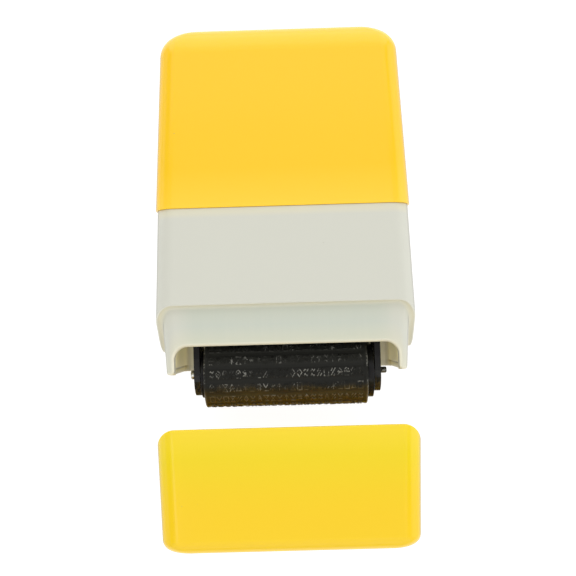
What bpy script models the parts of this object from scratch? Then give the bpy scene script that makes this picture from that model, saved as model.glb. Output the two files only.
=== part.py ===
"""Privacy roller stamp, lying on its back with its cap pulled off.

X runs across the stamp, Y along it towards the top of the yellow cover, Z up out of its front face.
Every piece is built from the mouth plane of the housing (Y zero) and from mid depth (Z zero), and one
empty then sets the whole stamp on the ground. All lengths are in metres.
"""

import math

import bmesh
import bpy
from mathutils import Vector

# Clearances, and how far a cutter runs past what it cuts
seat_gap = 0.0003
running_gap = 0.0001
overrun = 0.0010

# The widths follow from the rubber, through the room beside the roller and beside its frame
rubber_length = 0.0386
roller_side_room = 0.0015
housing_side_room = 0.0078

# Ivory housing: heights are measured from its mouth
step_height = 0.0158
parting_height = 0.0380
neck_length = 0.0060
housing_taper = 0.0018
housing_depth = 0.0290
corner_radius = 0.0043
tongue_tip_radius = 0.0092
tongue_angle = math.radians(45)
rear_step_drop = 0.0032
collar_inset = 0.0016
collar_taper = 0.0014
collar_wall = 0.0018
neck_wall = 0.0015
core_corner_radius = 0.0012
arch_height = 0.00645
arch_corner_radius = 0.0030
arch_side_lip = 0.0003
rebate_height = 0.0015
rebate_depth = 0.0004
ledge_thickness = 0.0025
ledge_clearance = 0.0010
ledge_length = 0.0160

# How far the yellow mouldings stand proud of the ivory one on each side
depth_proud = 0.0003
cover_proud = 0.0004
cap_proud = 0.0001

# Yellow upper cover
cover_height = 0.0427
cover_taper = 0.0040
cover_wall = 0.0018
cover_round_across = 0.0070
cover_round_deep = 0.0060

# Yellow cap, pulled off by cap_distance from the mouth
cap_height = 0.0280
cap_taper = 0.0015
cap_wall = 0.0016
cap_round = 0.0032
cap_distance = 0.0121

# Print roller
print_axis_below_mouth = 0.0005
print_radius = 0.0080
relief_rows = 15
relief_height = 0.0004
relief_row_width = 0.0021
rubber_shift = -0.00035
rubber_thickness = 0.0021
drum_wall = 0.0012
hub_depth = 0.0030
left_flange_radius = 0.0056
left_flange_thickness = 0.0004
right_flange_radius = 0.0064
right_flange_thickness = 0.0010
washer_radius = 0.0024

# Steel pins
pin_radius = 0.00075
pin_chamfer = 0.0002
pin_head_radius = 0.0011
pin_head_length = 0.0012
print_pin_tail = 0.0018
ink_pin_tail = 0.0006

# Inking roller and its wick
ink_radius = 0.0070
ink_core_radius = 0.0035
foam_inset = 0.0001
felt_inset = 0.0023
felt_depth = 0.0060
felt_corner_radius = 0.0008

# Black roller frame
arm_thickness = 0.0014
arm_end_radius = 0.0050
arm_shoulder_width = 0.0160
arm_top_radius = 0.0015
arm_top_above_bridge = 0.0086
bridge_clearance = 0.0008
bridge_thickness = 0.0018
snap_width = 0.0060
snap_height = 0.0029
snap_reach = 0.0014
snap_land = 0.0008
snap_above_floor = 0.0022

# Ink tank and its closure
tank_wall = 0.0014
tank_floor = 0.0016
tank_corner_radius = 0.0012
flange_thickness = 0.0015
sponge_share = 0.92
gasket_thickness = 0.0008
gasket_width = 0.0022
lid_thickness = 0.0016
boss_radius = 0.0042
boss_height = 0.0035
filler_radius = 0.0026
plug_clearance = 0.0002
plug_stem_length = 0.0062
plug_head_radius = 0.0046
plug_head_thickness = 0.0018
plug_tab_width = 0.0056
plug_tab_thickness = 0.0016
plug_tab_height = 0.0034
plug_tab_radius = 0.0012

# Mesh density
corner_steps = 5
side_steps = 6
round_steps = 6
circle_steps = 40
pin_steps = 20
relief_share_of_flank = 0.12
sharp_angle = math.radians(32)

# Screen colours as linear light
screen_full = 255
screen_offset = 0.055
screen_power = 2.4

# Sizes and places that follow from the values above
half_between_arms = rubber_length / 2 + roller_side_room
half_frame = half_between_arms + arm_thickness
step_width = 2 * (half_frame + housing_side_room)
parting_width = step_width - housing_taper
collar_top_width = step_width - 2 * collar_inset
mouth_width = collar_top_width - collar_taper
cover_rim_width = parting_width + 2 * cover_proud
cover_top_width = cover_rim_width - cover_taper
cap_rim_width = step_width + 2 * cap_proud
cap_end_width = cap_rim_width - cap_taper
outer_depth = housing_depth + 2 * depth_proud
foam_length = rubber_length - 2 * foam_inset
felt_width = rubber_length - 2 * felt_inset

half_housing_depth = housing_depth / 2
half_collar_depth = half_housing_depth - collar_inset
half_core_depth = half_collar_depth - collar_wall
collar_corner_radius = corner_radius - collar_inset
cover_rim_level = parting_height + seat_gap
cover_top_level = cover_rim_level + cover_height
neck_top_level = parting_height + neck_length
cap_end_level = -cap_distance - cap_height
middle_level = (cover_top_level + cap_end_level) / 2
ground_drop = outer_depth / 2

print_level = -print_axis_below_mouth
ink_level = print_level + print_radius + seat_gap + ink_radius
bridge_level = ink_level + ink_radius + bridge_clearance
tank_level = bridge_level + bridge_thickness + seat_gap
flange_level = neck_top_level + seat_gap
gasket_level = flange_level + flange_thickness + seat_gap
lid_level = gasket_level + gasket_thickness + seat_gap
boss_top_level = lid_level + lid_thickness + boss_height

pin_hole_radius = pin_radius + running_gap
drum_radius = print_radius - rubber_thickness - running_gap
drum_bore_radius = drum_radius - drum_wall
rubber_left = rubber_shift - rubber_length / 2
rubber_right = rubber_shift + rubber_length / 2
half_tank_width = half_between_arms - seat_gap
half_tank_depth = half_core_depth - seat_gap


def cover_half_width(level):
    """Half the outer width of the cover at a level, without its round top."""
    along = (level - cover_rim_level) / cover_height
    return (cover_rim_width + (cover_top_width - cover_rim_width) * along) / 2


def cover_inner_half_width(level):
    return cover_half_width(level) - cover_wall


half_neck_depth = outer_depth / 2 - cover_wall - seat_gap
half_mouth_core = mouth_width / 2 - collar_wall
half_neck_top = cover_inner_half_width(neck_top_level) - seat_gap
half_neck_core = half_neck_top - neck_wall
neck_corner_radius = corner_radius - cover_wall - seat_gap


def core_half_width(level):
    """Half the inner width of the housing, which narrows from the mouth to the neck."""
    return half_mouth_core + (half_neck_core - half_mouth_core) * level / neck_top_level


def clear_scene():
    for obj in list(bpy.data.objects):
        bpy.data.objects.remove(obj)


def linear(*channels):
    """A colour read off a screen, 0 to 255, as Blender's linear values."""
    shares = [channel / screen_full for channel in channels]
    return [((share + screen_offset) / (1 + screen_offset)) ** screen_power for share in shares] + [1.0]


def finish(name, colour, roughness, metallic=0.0):
    material = bpy.data.materials.new(name)
    material.use_nodes = True
    shader = material.node_tree.nodes["Principled BSDF"]
    shader.inputs["Base Color"].default_value = linear(*colour)
    shader.inputs["Roughness"].default_value = roughness
    shader.inputs["Metallic"].default_value = metallic
    material.diffuse_color = linear(*colour)
    return material


def outline(half_x, half_z, radius):
    """(x, z) points round a rectangle with round corners, from the middle of its +X side."""
    quarter = [(half_x, (half_z - radius) * k / side_steps) for k in range(side_steps)]
    for k in range(corner_steps + 1):
        turn = math.pi / 2 * k / corner_steps
        x = half_x - radius + radius * math.cos(turn)
        z = half_z - radius + radius * math.sin(turn)
        quarter.append((x, z))
    front = quarter + [(-x, z) for x, z in reversed(quarter)]
    return front + [(x, -z) for x, z in reversed(front[1:-1])]


def ring(half_x, half_z, radius, level, dips=None):
    """A round-cornered loop at one level of Y. Its points drop by dips, where those are given."""
    points = outline(half_x, half_z, radius)
    dips = dips or [0.0] * len(points)
    return [Vector((x, level - dip, z)) for (x, z), dip in zip(points, dips)]


def circle(radius, at, axis, steps=circle_steps):
    """A round loop about the X or the Y axis."""
    points = []
    for k in range(steps):
        turn = 2 * math.pi * k / steps
        across = (radius * math.cos(turn), radius * math.sin(turn))
        points.append(Vector((at, *across)) if axis == "X" else Vector((across[0], at, across[1])))
    return points


def skin(rings, loop=False):
    """A closed mesh through the rings: its ends are filled, or with loop the last ring meets the first."""
    mesh = bmesh.new()
    loops = [[mesh.verts.new(point) for point in points] for points in rings]
    pairs = list(zip(loops, loops[1:]))
    if loop:
        pairs.append((loops[-1], loops[0]))
    else:
        mesh.faces.new(loops[0])
        mesh.faces.new(loops[-1])
    for low, high in pairs:
        for k in range(len(low)):
            after = (k + 1) % len(low)
            mesh.faces.new((low[k], low[after], high[after], high[k]))
    bmesh.ops.recalc_face_normals(mesh, faces=mesh.faces)
    return mesh


def prism(points, low, high, axis):
    """A closed mesh from an outline, extruded along X (points are y, z) or along Z (points are x, y)."""
    if axis == "X":
        ends = [[Vector((at, y, z)) for y, z in points] for at in (low, high)]
    else:
        ends = [[Vector((x, y, at)) for x, y in points] for at in (low, high)]
    return skin(ends)


def arc(centre, radius, start, end, steps):
    """Points of an arc, with start and end as angles in degrees."""
    turns = [math.radians(start + (end - start) * k / steps) for k in range(steps + 1)]
    return [(centre[0] + radius * math.cos(t), centre[1] + radius * math.sin(t)) for t in turns]


def add(name, mesh, parent, material=None, at=(0, 0, 0)):
    """An object of this mesh. Without a material it is a tool for a Boolean, and stays out of the part."""
    data = bpy.data.meshes.new(name)
    mesh.to_mesh(data)
    mesh.free()
    obj = bpy.data.objects.new(name, data)
    bpy.context.scene.collection.objects.link(obj)
    obj.parent = parent
    obj.location = at
    data.shade_smooth()
    data.set_sharp_from_angle(angle=sharp_angle)
    if material:
        data.materials.append(material)
    else:
        obj.hide_render = True
        obj.display_type = "WIRE"
    return obj


def empty(name, parent=None, at=(0, 0, 0)):
    obj = bpy.data.objects.new(name, None)
    bpy.context.scene.collection.objects.link(obj)
    obj.parent = parent
    obj.location = at
    return obj


def combine(obj, tool, operation):
    modifier = obj.modifiers.new(tool.name, "BOOLEAN")
    modifier.operation = operation
    modifier.solver = "EXACT"
    modifier.object = tool


def tongue_dips():
    """How far the step, and the cap's rim with it, runs down each point of its loop.

    It is level along the front face and runs down the sides at the tongue angle to a round tip at mid depth.
    Behind mid depth it rises again, but less, so that the rear of the step is lower than its front.
    """
    foot = tongue_tip_radius * math.sin(tongue_angle)
    rise = math.tan(tongue_angle)
    lost = tongue_tip_radius * (1 / math.cos(tongue_angle) - 1)
    deepest = half_housing_depth * rise - lost
    dips = []
    for _, z in outline(step_width / 2, half_housing_depth, corner_radius):
        if abs(z) < foot:
            dip = deepest - tongue_tip_radius + math.sqrt(tongue_tip_radius**2 - z**2)
        else:
            dip = (half_housing_depth - abs(z)) * rise
        if z < 0:
            dip = rear_step_drop + dip * (1 - rear_step_drop / deepest)
        dips.append(dip)
    return dips


def closed_end(half_x, half_z, radius, end_level, round_x, round_z, direction):
    """Rings from a side wall over a rounded edge to the flat of a closed end."""
    rings = []
    for k in range(round_steps + 1):
        turn = math.pi / 2 * k / round_steps
        in_x = round_x * (1 - math.cos(turn))
        in_z = round_z * (1 - math.cos(turn))
        level = end_level - direction * round_x * (1 - math.sin(turn))
        rings.append(ring(half_x - in_x, half_z - in_z, radius, level))
    return rings


def make_housing(parent, ivory):
    dips = tongue_dips()
    half_parting = parting_width / 2
    half_neck_foot = cover_inner_half_width(cover_rim_level) - seat_gap
    neck = (half_neck_depth, neck_corner_radius)
    core = (half_core_depth, core_corner_radius)
    rings = [
        ring(mouth_width / 2, half_collar_depth, collar_corner_radius, 0),
        ring(collar_top_width / 2, half_collar_depth, collar_corner_radius, step_height, dips),
        ring(step_width / 2, half_housing_depth, corner_radius, step_height, dips),
        ring(half_parting, half_housing_depth, corner_radius, parting_height),
        ring(half_neck_foot, *neck, parting_height),
        ring(half_neck_top, *neck, neck_top_level),
        ring(half_neck_core, *core, neck_top_level),
        ring(half_mouth_core, *core, 0),
    ]
    housing = add("main_housing", skin(rings, loop=True), parent, ivory)
    combine(housing, add("arch_cutter", arch_cutter(), parent), "DIFFERENCE")
    for side, word in ((-1, "left"), (1, "right")):
        combine(housing, add(f"rebate_cutter_{word}", rebate_cutter(side), parent), "DIFFERENCE")
        combine(housing, add(f"ledge_{word}", ledge(side), parent), "UNION")
    return housing


def arch_cutter():
    """It opens the front wall above the roller, between the two side walls."""
    half = half_mouth_core - arch_side_lip
    top = arch_height - arch_corner_radius
    points = [(-half, -overrun), (half, -overrun)]
    points += arc((half - arch_corner_radius, top), arch_corner_radius, 0, 90, corner_steps)
    points += arc((arch_corner_radius - half, top), arch_corner_radius, 90, 180, corner_steps)
    return prism(points, half_core_depth - overrun, half_collar_depth + overrun, "Z")


def rebate_cutter(side):
    """The shallow rebate inside the mouth, on the side walls only."""
    half = half_core_depth - core_corner_radius
    inner = side * (half_mouth_core - overrun)
    outer = side * (half_mouth_core + rebate_depth)
    points = [(-overrun, -half), (rebate_height, -half), (rebate_height, half), (-overrun, half)]
    return prism(points, min(inner, outer), max(inner, outer), "X")


def ledge(side):
    """The block on a side wall that the frame's bridge bears up against."""
    low = tank_level
    high = low + ledge_thickness
    inner = side * (half_frame + ledge_clearance)
    outer = side * (core_half_width(low) + overrun)
    half = ledge_length / 2
    points = [(low, -half), (high, -half), (high, half), (low, half)]
    return prism(points, min(inner, outer), max(inner, outer), "X")


def make_cover(parent, yellow):
    """The upper cover. Its origin is on the line that it slides along, at its rim."""
    half_rim = cover_rim_width / 2
    half_shoulder = cover_half_width(cover_top_level - cover_round_across)
    half_depth = outer_depth / 2
    inner_radius = corner_radius - cover_wall
    outside = closed_end(
        half_shoulder, half_depth, corner_radius, cover_height, cover_round_across, cover_round_deep, 1
    )
    inside = closed_end(
        half_shoulder - cover_wall,
        half_depth - cover_wall,
        inner_radius,
        cover_height - cover_wall,
        cover_round_across - cover_wall,
        cover_round_deep - cover_wall,
        1,
    )
    rings = outside[::-1] + [ring(half_rim, half_depth, corner_radius, 0)]
    rings += [ring(half_rim - cover_wall, half_depth - cover_wall, inner_radius, 0)] + inside
    return add("upper_cover", skin(rings), parent, yellow, (0, cover_rim_level, 0))


def make_cap(parent, yellow):
    """The cap. Its rim follows the step of the housing, and its origin is on its slide line, at that rim."""
    dips = tongue_dips()
    half_rim = cap_rim_width / 2
    half_end = cap_end_width / 2
    half_depth = outer_depth / 2
    inner_radius = corner_radius - cap_wall
    outside = closed_end(half_end, half_depth, corner_radius, -cap_height, cap_round, cap_round, -1)
    inner_round = cap_round - cap_wall
    inside = closed_end(
        half_end - cap_wall,
        half_depth - cap_wall,
        inner_radius,
        cap_wall - cap_height,
        inner_round,
        inner_round,
        -1,
    )
    rings = outside[::-1] + [ring(half_rim, half_depth, corner_radius, 0, dips)]
    rings += [ring(half_rim - cap_wall, half_depth - cap_wall, inner_radius, 0, dips)] + inside
    return add("cap", skin(rings), parent, yellow, (0, -cap_distance, 0))


def arm(side):
    """One arm of the frame: round about the print pin, wider from the bridge up."""
    shoulder = arm_shoulder_width / 2
    top = bridge_level + bridge_thickness + arm_top_above_bridge
    points = arc((print_level, 0), arm_end_radius, 90, 270, 2 * corner_steps)
    points += [(bridge_level - (shoulder - arm_end_radius), -arm_end_radius), (bridge_level, -shoulder)]
    points += arc((top - arm_top_radius, arm_top_radius - shoulder), arm_top_radius, -90, 0, corner_steps)
    points += arc((top - arm_top_radius, shoulder - arm_top_radius), arm_top_radius, 0, 90, corner_steps)
    points += [(bridge_level, shoulder), (bridge_level - (shoulder - arm_end_radius), arm_end_radius)]
    inner = side * half_between_arms
    outer = side * half_frame
    return prism(points, min(inner, outer), max(inner, outer), "X")


def block(half_x, half_z, radius, low, high):
    """A flat block with round corners in plan, from one level of Y to another."""
    return skin([ring(half_x, half_z, radius, low), ring(half_x, half_z, radius, high)])


def pin_bore(level):
    """The bore for a pin through both arms, as a rod about X."""
    ends = (-half_frame - overrun, half_frame + overrun)
    rod = [circle(pin_hole_radius, at, "X", pin_steps) for at in ends]
    return skin([[point + Vector((0, level, 0)) for point in points] for points in rod])


def felt_window(low, high):
    """The slot that the wick stands in."""
    half_x = felt_width / 2 + seat_gap
    half_z = felt_depth / 2 + seat_gap
    return block(half_x, half_z, felt_corner_radius + seat_gap, low - overrun, high + overrun)


def make_frame(parent, black):
    top = bridge_level + bridge_thickness
    half_bridge = core_half_width(top) - seat_gap
    bridge = block(half_bridge, half_tank_depth, core_corner_radius, bridge_level, top)
    frame = add("roller_frame", bridge, parent, black)
    for side, word in ((-1, "left"), (1, "right")):
        combine(frame, add(f"arm_{word}", arm(side), parent), "UNION")
    for word, level in (("print", print_level), ("ink", ink_level)):
        combine(frame, add(f"{word}_pin_bore", pin_bore(level), parent), "DIFFERENCE")
    combine(frame, add("bridge_window", felt_window(bridge_level, top), parent), "DIFFERENCE")
    combine(frame, add("snap_window", snap_window(), parent), "DIFFERENCE")
    return frame


def snap_window():
    """The window in each arm that a catch of the tank snaps into."""
    low = tank_level + snap_above_floor - seat_gap
    high = tank_level + snap_above_floor + snap_height + seat_gap
    half = snap_width / 2 + seat_gap
    points = [(low, -half), (high, -half), (high, half), (low, half)]
    reach = half_frame + overrun
    return prism(points, -reach, reach, "X")


def snap_catch(side):
    """The wedge on an end wall of the tank: its ramp faces down, its flat faces up."""
    low = tank_level + snap_above_floor
    high = low + snap_height
    root = side * (half_tank_width - tank_wall / 2)
    tip = side * (half_tank_width + snap_reach)
    points = [(root, low), (tip, high - snap_land), (tip, high), (root, high)]
    return prism(points, -snap_width / 2, snap_width / 2, "Z")


def make_tank(parent, black):
    top = flange_level + flange_thickness
    floor = tank_level + tank_floor
    half_flange = cover_inner_half_width(top) - seat_gap
    body = (half_tank_width, half_tank_depth, tank_corner_radius)
    hollow = (half_tank_width - tank_wall, half_tank_depth - tank_wall, tank_corner_radius)
    rings = [
        ring(*body, tank_level),
        ring(*body, flange_level),
        ring(half_flange, half_neck_depth, neck_corner_radius, flange_level),
        ring(half_flange, half_neck_depth, neck_corner_radius, top),
        ring(*hollow, top),
        ring(*hollow, floor),
    ]
    tank = add("ink_tank", skin(rings), parent, black)
    combine(tank, add("floor_window", felt_window(tank_level, floor), parent), "DIFFERENCE")
    for side, word in ((-1, "left"), (1, "right")):
        combine(tank, add(f"snap_catch_{word}", snap_catch(side), parent), "UNION")
    return tank


def make_tank_fill(parent, sponge_look, felt_look):
    """The sponge that holds the ink, and the wick that stands on the inking roller."""
    floor = tank_level + tank_floor
    low = floor + seat_gap
    high = low + (flange_level - low) * sponge_share
    half_x = half_tank_width - tank_wall - seat_gap
    half_z = half_tank_depth - tank_wall - seat_gap
    add("ink_sponge", block(half_x, half_z, tank_corner_radius, low, high), parent, sponge_look)
    foot = ink_level + ink_radius + seat_gap
    felt = block(felt_width / 2, felt_depth / 2, felt_corner_radius, foot, floor)
    add("ink_felt", felt, parent, felt_look)


def make_closure(parent, black, rubber):
    """The gasket and the lid of the tank, with the filler neck on it."""
    half_lid = cover_inner_half_width(boss_top_level) - seat_gap
    outer = (half_lid, half_neck_depth, neck_corner_radius)
    inner = (half_lid - gasket_width, half_neck_depth - gasket_width, core_corner_radius)
    gasket_top = gasket_level + gasket_thickness
    rings = [
        ring(*outer, gasket_level),
        ring(*outer, gasket_top),
        ring(*inner, gasket_top),
        ring(*inner, gasket_level),
    ]
    add("tank_gasket", skin(rings, loop=True), parent, rubber)
    lid = add("tank_lid", block(*outer, lid_level, lid_level + lid_thickness), parent, black)
    ends = (lid_level + lid_thickness / 2, boss_top_level)
    boss = skin([circle(boss_radius, at, "Y") for at in ends])
    combine(lid, add("filler_boss", boss, parent), "UNION")
    bore = skin([circle(filler_radius, at, "Y") for at in (lid_level - overrun, boss_top_level + overrun)])
    combine(lid, add("filler_bore", bore, parent), "DIFFERENCE")


def make_plug(parent, rubber):
    """The stopper of the filler neck, with a tab to pull it by. Its origin is on its slide line, under its head."""
    stem = filler_radius - plug_clearance
    profile = [
        (-plug_stem_length, stem - pin_chamfer),
        (pin_chamfer - plug_stem_length, stem),
        (0, stem),
        (0, plug_head_radius),
        (plug_head_thickness - pin_chamfer, plug_head_radius),
        (plug_head_thickness, plug_head_radius - pin_chamfer),
    ]
    at = (0, boss_top_level + seat_gap, 0)
    plug = add("filler_plug", skin([circle(r, level, "Y") for level, r in profile]), parent, rubber, at)
    half = plug_tab_width / 2
    low = plug_head_thickness / 2
    high = plug_head_thickness + plug_tab_height
    corner = high - plug_tab_radius
    points = [(-half, low), (half, low)]
    points += arc((half - plug_tab_radius, corner), plug_tab_radius, 0, 90, corner_steps)
    points += arc((plug_tab_radius - half, corner), plug_tab_radius, 90, 180, corner_steps)
    tab = prism(points, -plug_tab_thickness / 2, plug_tab_thickness / 2, "Z")
    combine(plug, add("plug_tab", tab, parent, at=at), "UNION")


def tube(outer, inner, low, high, steps=circle_steps):
    """A round tube about X."""
    corners = ((outer, low), (outer, high), (inner, high), (inner, low))
    return skin([circle(radius, at, "X", steps) for radius, at in corners], loop=True)


def relief_loop(at, raised):
    """A loop round the sleeve. With raised it goes up and down over the rows of the relief."""
    root_radius = print_radius - relief_height
    pitch = 2 * math.pi / relief_rows
    row = relief_row_width / print_radius
    flank = row * relief_share_of_flank
    points = []
    for k in range(relief_rows):
        corners = ((-row / 2 - flank, 0), (-row / 2, 1), (0, 1), (row / 2, 1), (row / 2 + flank, 0))
        for turn, lifted in corners:
            angle = k * pitch + turn
            radius = root_radius + relief_height * lifted if raised else print_radius - rubber_thickness
            points.append(Vector((at, radius * math.cos(angle), radius * math.sin(angle))))
    return points


def make_print_roller(axis, rubber, black, ivory):
    """Everything that turns on the print pin. It hangs on an empty on the pin's axis."""
    ends = (rubber_left, rubber_right)
    sleeve = [relief_loop(at, raised) for raised in (True, False) for at in ends]
    sleeve = [sleeve[0], sleeve[1], sleeve[3], sleeve[2]]
    add("rubber_sleeve", skin(sleeve, loop=True), axis, rubber)
    add("print_drum", tube(drum_radius, drum_bore_radius, *ends), axis, ivory)
    flanges = {
        "left": (-1, rubber_left, left_flange_radius, left_flange_thickness),
        "right": (1, rubber_right, right_flange_radius, right_flange_thickness),
    }
    for word, (side, end, radius, thickness) in flanges.items():
        foot = end + side * running_gap
        spigot = drum_bore_radius - running_gap
        profile = [
            (pin_hole_radius, end - side * hub_depth),
            (spigot, end - side * hub_depth),
            (spigot, foot),
            (radius, foot),
            (radius, foot + side * thickness),
            (pin_hole_radius, foot + side * thickness),
        ]
        rings = [circle(r, at, "X") for r, at in profile]
        add(f"hub_{word}", skin(rings, loop=True), axis, black)


def make_washers(parent, steel):
    """The spacers on the print pin. Each fills what is left between its hub and its arm."""
    left = rubber_left - 2 * running_gap - left_flange_thickness
    right = rubber_right + 2 * running_gap + right_flange_thickness
    edge = half_between_arms - running_gap
    for word, low, high in (("left", -edge, left), ("right", right, edge)):
        washer = tube(washer_radius, pin_hole_radius, low, high, pin_steps)
        add(f"washer_{word}", washer, parent, steel, (0, print_level, 0))


def pin(head_length, tail, head_radius):
    """A steel pin through both arms, with its head outside the left one."""
    shank_end = half_frame + tail
    head = -half_frame - running_gap
    profile = [
        (head_radius - pin_chamfer, head - head_length),
        (head_radius, head - head_length + pin_chamfer),
        (head_radius, head),
        (pin_radius, head),
        (pin_radius, shank_end - pin_chamfer),
        (pin_radius - pin_chamfer, shank_end),
    ]
    return skin([circle(radius, at, "X", pin_steps) for radius, at in profile])


def make_ink_roller(axis, foam, ivory):
    reach = half_between_arms - seat_gap
    add("ink_core", tube(ink_core_radius, pin_hole_radius, -reach, reach), axis, ivory)
    bore = ink_core_radius + running_gap
    add("ink_foam", tube(ink_radius, bore, -foam_length / 2, foam_length / 2), axis, foam)


def main():
    clear_scene()
    yellow = finish("yellow_plastic", (255, 212, 58), 0.32)
    ivory = finish("ivory_plastic", (218, 218, 206), 0.36)
    black = finish("black_plastic", (36, 34, 35), 0.40)
    rubber = finish("inked_rubber", (30, 27, 26), 0.30)
    seal = finish("seal_rubber", (58, 58, 60), 0.60)
    steel = finish("steel", (170, 170, 160), 0.30, 1.0)
    foam = finish("ink_foam", (30, 28, 32), 0.90)
    felt = finish("ink_felt", (52, 48, 50), 0.95)

    stamp = empty("stamp_frame", at=(0, -middle_level, ground_drop))
    print_axis = empty("print_axis", stamp, (0, print_level, 0))
    ink_axis = empty("ink_axis", stamp, (0, ink_level, 0))

    make_housing(stamp, ivory)
    make_cover(stamp, yellow)
    make_cap(stamp, yellow)
    make_frame(stamp, black)
    make_tank(stamp, black)
    make_tank_fill(stamp, foam, felt)
    make_closure(stamp, black, seal)
    make_plug(stamp, seal)
    make_print_roller(print_axis, rubber, black, ivory)
    make_washers(stamp, steel)
    make_ink_roller(ink_axis, foam, ivory)
    print_pin = pin(pin_head_length, print_pin_tail, pin_head_radius)
    add("print_axle", print_pin, print_axis, steel)
    ink_pin = pin(pin_chamfer * 2, ink_pin_tail, pin_head_radius)
    add("ink_axle", ink_pin, ink_axis, steel)


main()
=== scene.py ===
"""Privacy roller stamp on its back, with its cap pulled off: the dressed model around the packed frame.

X runs across the stamp, Y along it towards the top of the yellow cover, Z up out of its front face.
Pieces are drawn in the stamp's own measures, in metres: a level is a height along Y above the mouth of the
housing, and depth is counted along Z from the middle of the housing. An object stands at that origin.
"""
import math
import random

import bmesh
import bpy
from bpy.props import FloatProperty, FloatVectorProperty, IntProperty, PointerProperty
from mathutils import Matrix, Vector, noise


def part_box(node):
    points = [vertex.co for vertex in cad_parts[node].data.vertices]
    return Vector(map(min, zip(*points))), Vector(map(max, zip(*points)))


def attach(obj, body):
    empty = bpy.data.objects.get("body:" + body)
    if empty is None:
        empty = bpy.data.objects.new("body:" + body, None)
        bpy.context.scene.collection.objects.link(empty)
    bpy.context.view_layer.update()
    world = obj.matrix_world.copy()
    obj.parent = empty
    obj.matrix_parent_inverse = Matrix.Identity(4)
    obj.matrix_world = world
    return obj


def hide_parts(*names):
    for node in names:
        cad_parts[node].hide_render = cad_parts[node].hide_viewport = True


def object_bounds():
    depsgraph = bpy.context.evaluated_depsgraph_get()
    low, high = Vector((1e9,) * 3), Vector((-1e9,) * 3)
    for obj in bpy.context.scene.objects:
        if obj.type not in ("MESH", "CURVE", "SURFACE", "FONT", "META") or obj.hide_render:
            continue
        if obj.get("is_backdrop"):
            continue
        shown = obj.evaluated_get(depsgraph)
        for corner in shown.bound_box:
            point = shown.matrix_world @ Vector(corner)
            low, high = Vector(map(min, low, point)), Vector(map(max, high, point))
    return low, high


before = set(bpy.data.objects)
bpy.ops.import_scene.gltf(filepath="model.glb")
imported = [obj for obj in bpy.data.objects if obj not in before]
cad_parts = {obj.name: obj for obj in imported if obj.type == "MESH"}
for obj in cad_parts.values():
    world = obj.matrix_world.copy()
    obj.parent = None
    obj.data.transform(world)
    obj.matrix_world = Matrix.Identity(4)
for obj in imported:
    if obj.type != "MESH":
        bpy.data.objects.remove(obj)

bl_info = {
    "name": "Privacy roller stamp",
    "version": (1, 0, 0),
    "blender": (4, 5, 0),
    "location": "View3D > Sidebar > Stamp",
    "description": "Builds the pieces, finishes and studio of a privacy roller stamp around its packed frame",
    "category": "Add Mesh",
}

CAD_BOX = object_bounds()


# Places that the packed frame gives


def low_of(node):
    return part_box(node)[0]


def high_of(node):
    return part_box(node)[1]


MOUTH = low_of("main_housing").y
MIDDLE = (low_of("upper_cover").z + high_of("upper_cover").z) / 2
HOME = Vector((0, MOUTH, MIDDLE))
NECK_TOP = high_of("main_housing").y - MOUTH
COVER_RIM = low_of("upper_cover").y - MOUTH
COVER_TOP = high_of("upper_cover").y - MOUTH
CAP_END = low_of("cap").y - MOUTH
PRINT_LEVEL = (low_of("print_drum").y + high_of("print_drum").y) / 2 - MOUTH
INK_LEVEL = (low_of("ink_core").y + high_of("ink_core").y) / 2 - MOUTH
PRINT_HOME = HOME + Vector((0, PRINT_LEVEL, 0))
INK_HOME = HOME + Vector((0, INK_LEVEL, 0))
RUBBER_LEFT = low_of("rubber_sleeve").x
RUBBER_RIGHT = high_of("rubber_sleeve").x
HALF_HOUSING = high_of("main_housing").x
HALF_DEEP = high_of("upper_cover").z - MIDDLE


# Fine sizes, in metres. An edge is the radius of a rounded edge, and a half is counted from the middle.

CORE_CORNER = 0.0012
ARCH_LIP = 0.0003  # what the opening leaves of the front wall beside the core
ARCH_FOOT = 0.00095  # radius of the lower corners of the legs
ARCH_EDGE = 0.00085
MOUTH_EDGE = 0.0005
STEP_EDGE = 0.00035
SMALL_EDGE = 0.00018
PARTING_EDGE = 0.00010
COVE = 0.0010  # radius of the hollow under the step
REBATE_HEIGHT = 0.0015
REBATE_DEPTH = 0.0004
NECK_FOOT_HALF = 0.0274
NECK_TOP_HALF = 0.02713
NECK_HALF_DEPTH = 0.0127
NECK_WALL = 0.0015
LEDGE_LOW = 0.0247
LEDGE_THICKNESS = 0.0025
LEDGE_HALF = 0.0232
LEDGE_LENGTH = 0.0160
LEDGE_CORNER = 0.0003
LEDGE_EDGE = 0.0002
CAP_EDGE = 0.00035
CAP_LEAD_IN = 0.0011  # how round the inner edge of the cap's rim is
COVER_EDGE = 0.00010
COVER_DROP = 0.00028  # how far the seated rim closes the gap above the housing
RUBBER_EDGE = 0.00035
RIB_FLANK = 0.0002
MARK_SINK = 0.00006  # how far the foot of a mark stands in the rubber
MARK_SOFT = 0.16  # how far the top edge of a stroke is softened, as a share of its width
MARK_FLANK = 0.22  # how far a stroke spreads towards its foot, as a share of its width
BAND_SHARE = 0.55  # how much of the plain margin the raised band at each end of the rubber takes
BAND_RISE = 0.9  # how high that band stands, as a share of the marks
MOULDED_EDGE = 0.00015  # of the frame, the tank, its lid and the hubs
DRUM_EDGE = 0.0001
SEAL_EDGE = 0.0002
WASHER_EDGE = 0.00008
PIN_EDGE = 0.0003
PRINT_PIN_HEAD = 0.0012
INK_PIN_HEAD = 0.0004
RUNNING_GAP = 0.0001
HUB_LIP = 0.00045  # how far the rim of a hub reaches towards the arm beside it
HUB_LIP_WIDTH = 0.0012
HUB_DEPTH = 0.0030
HUB_RECESS = (0.2, 0.45, 0.40)  # round the pin, as (share of the flange, share of its radius outside, inside)
SPIGOT = 0.0045
FOAM_EDGE = 0.0006
FOAM_PITCH = 0.0008
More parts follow.
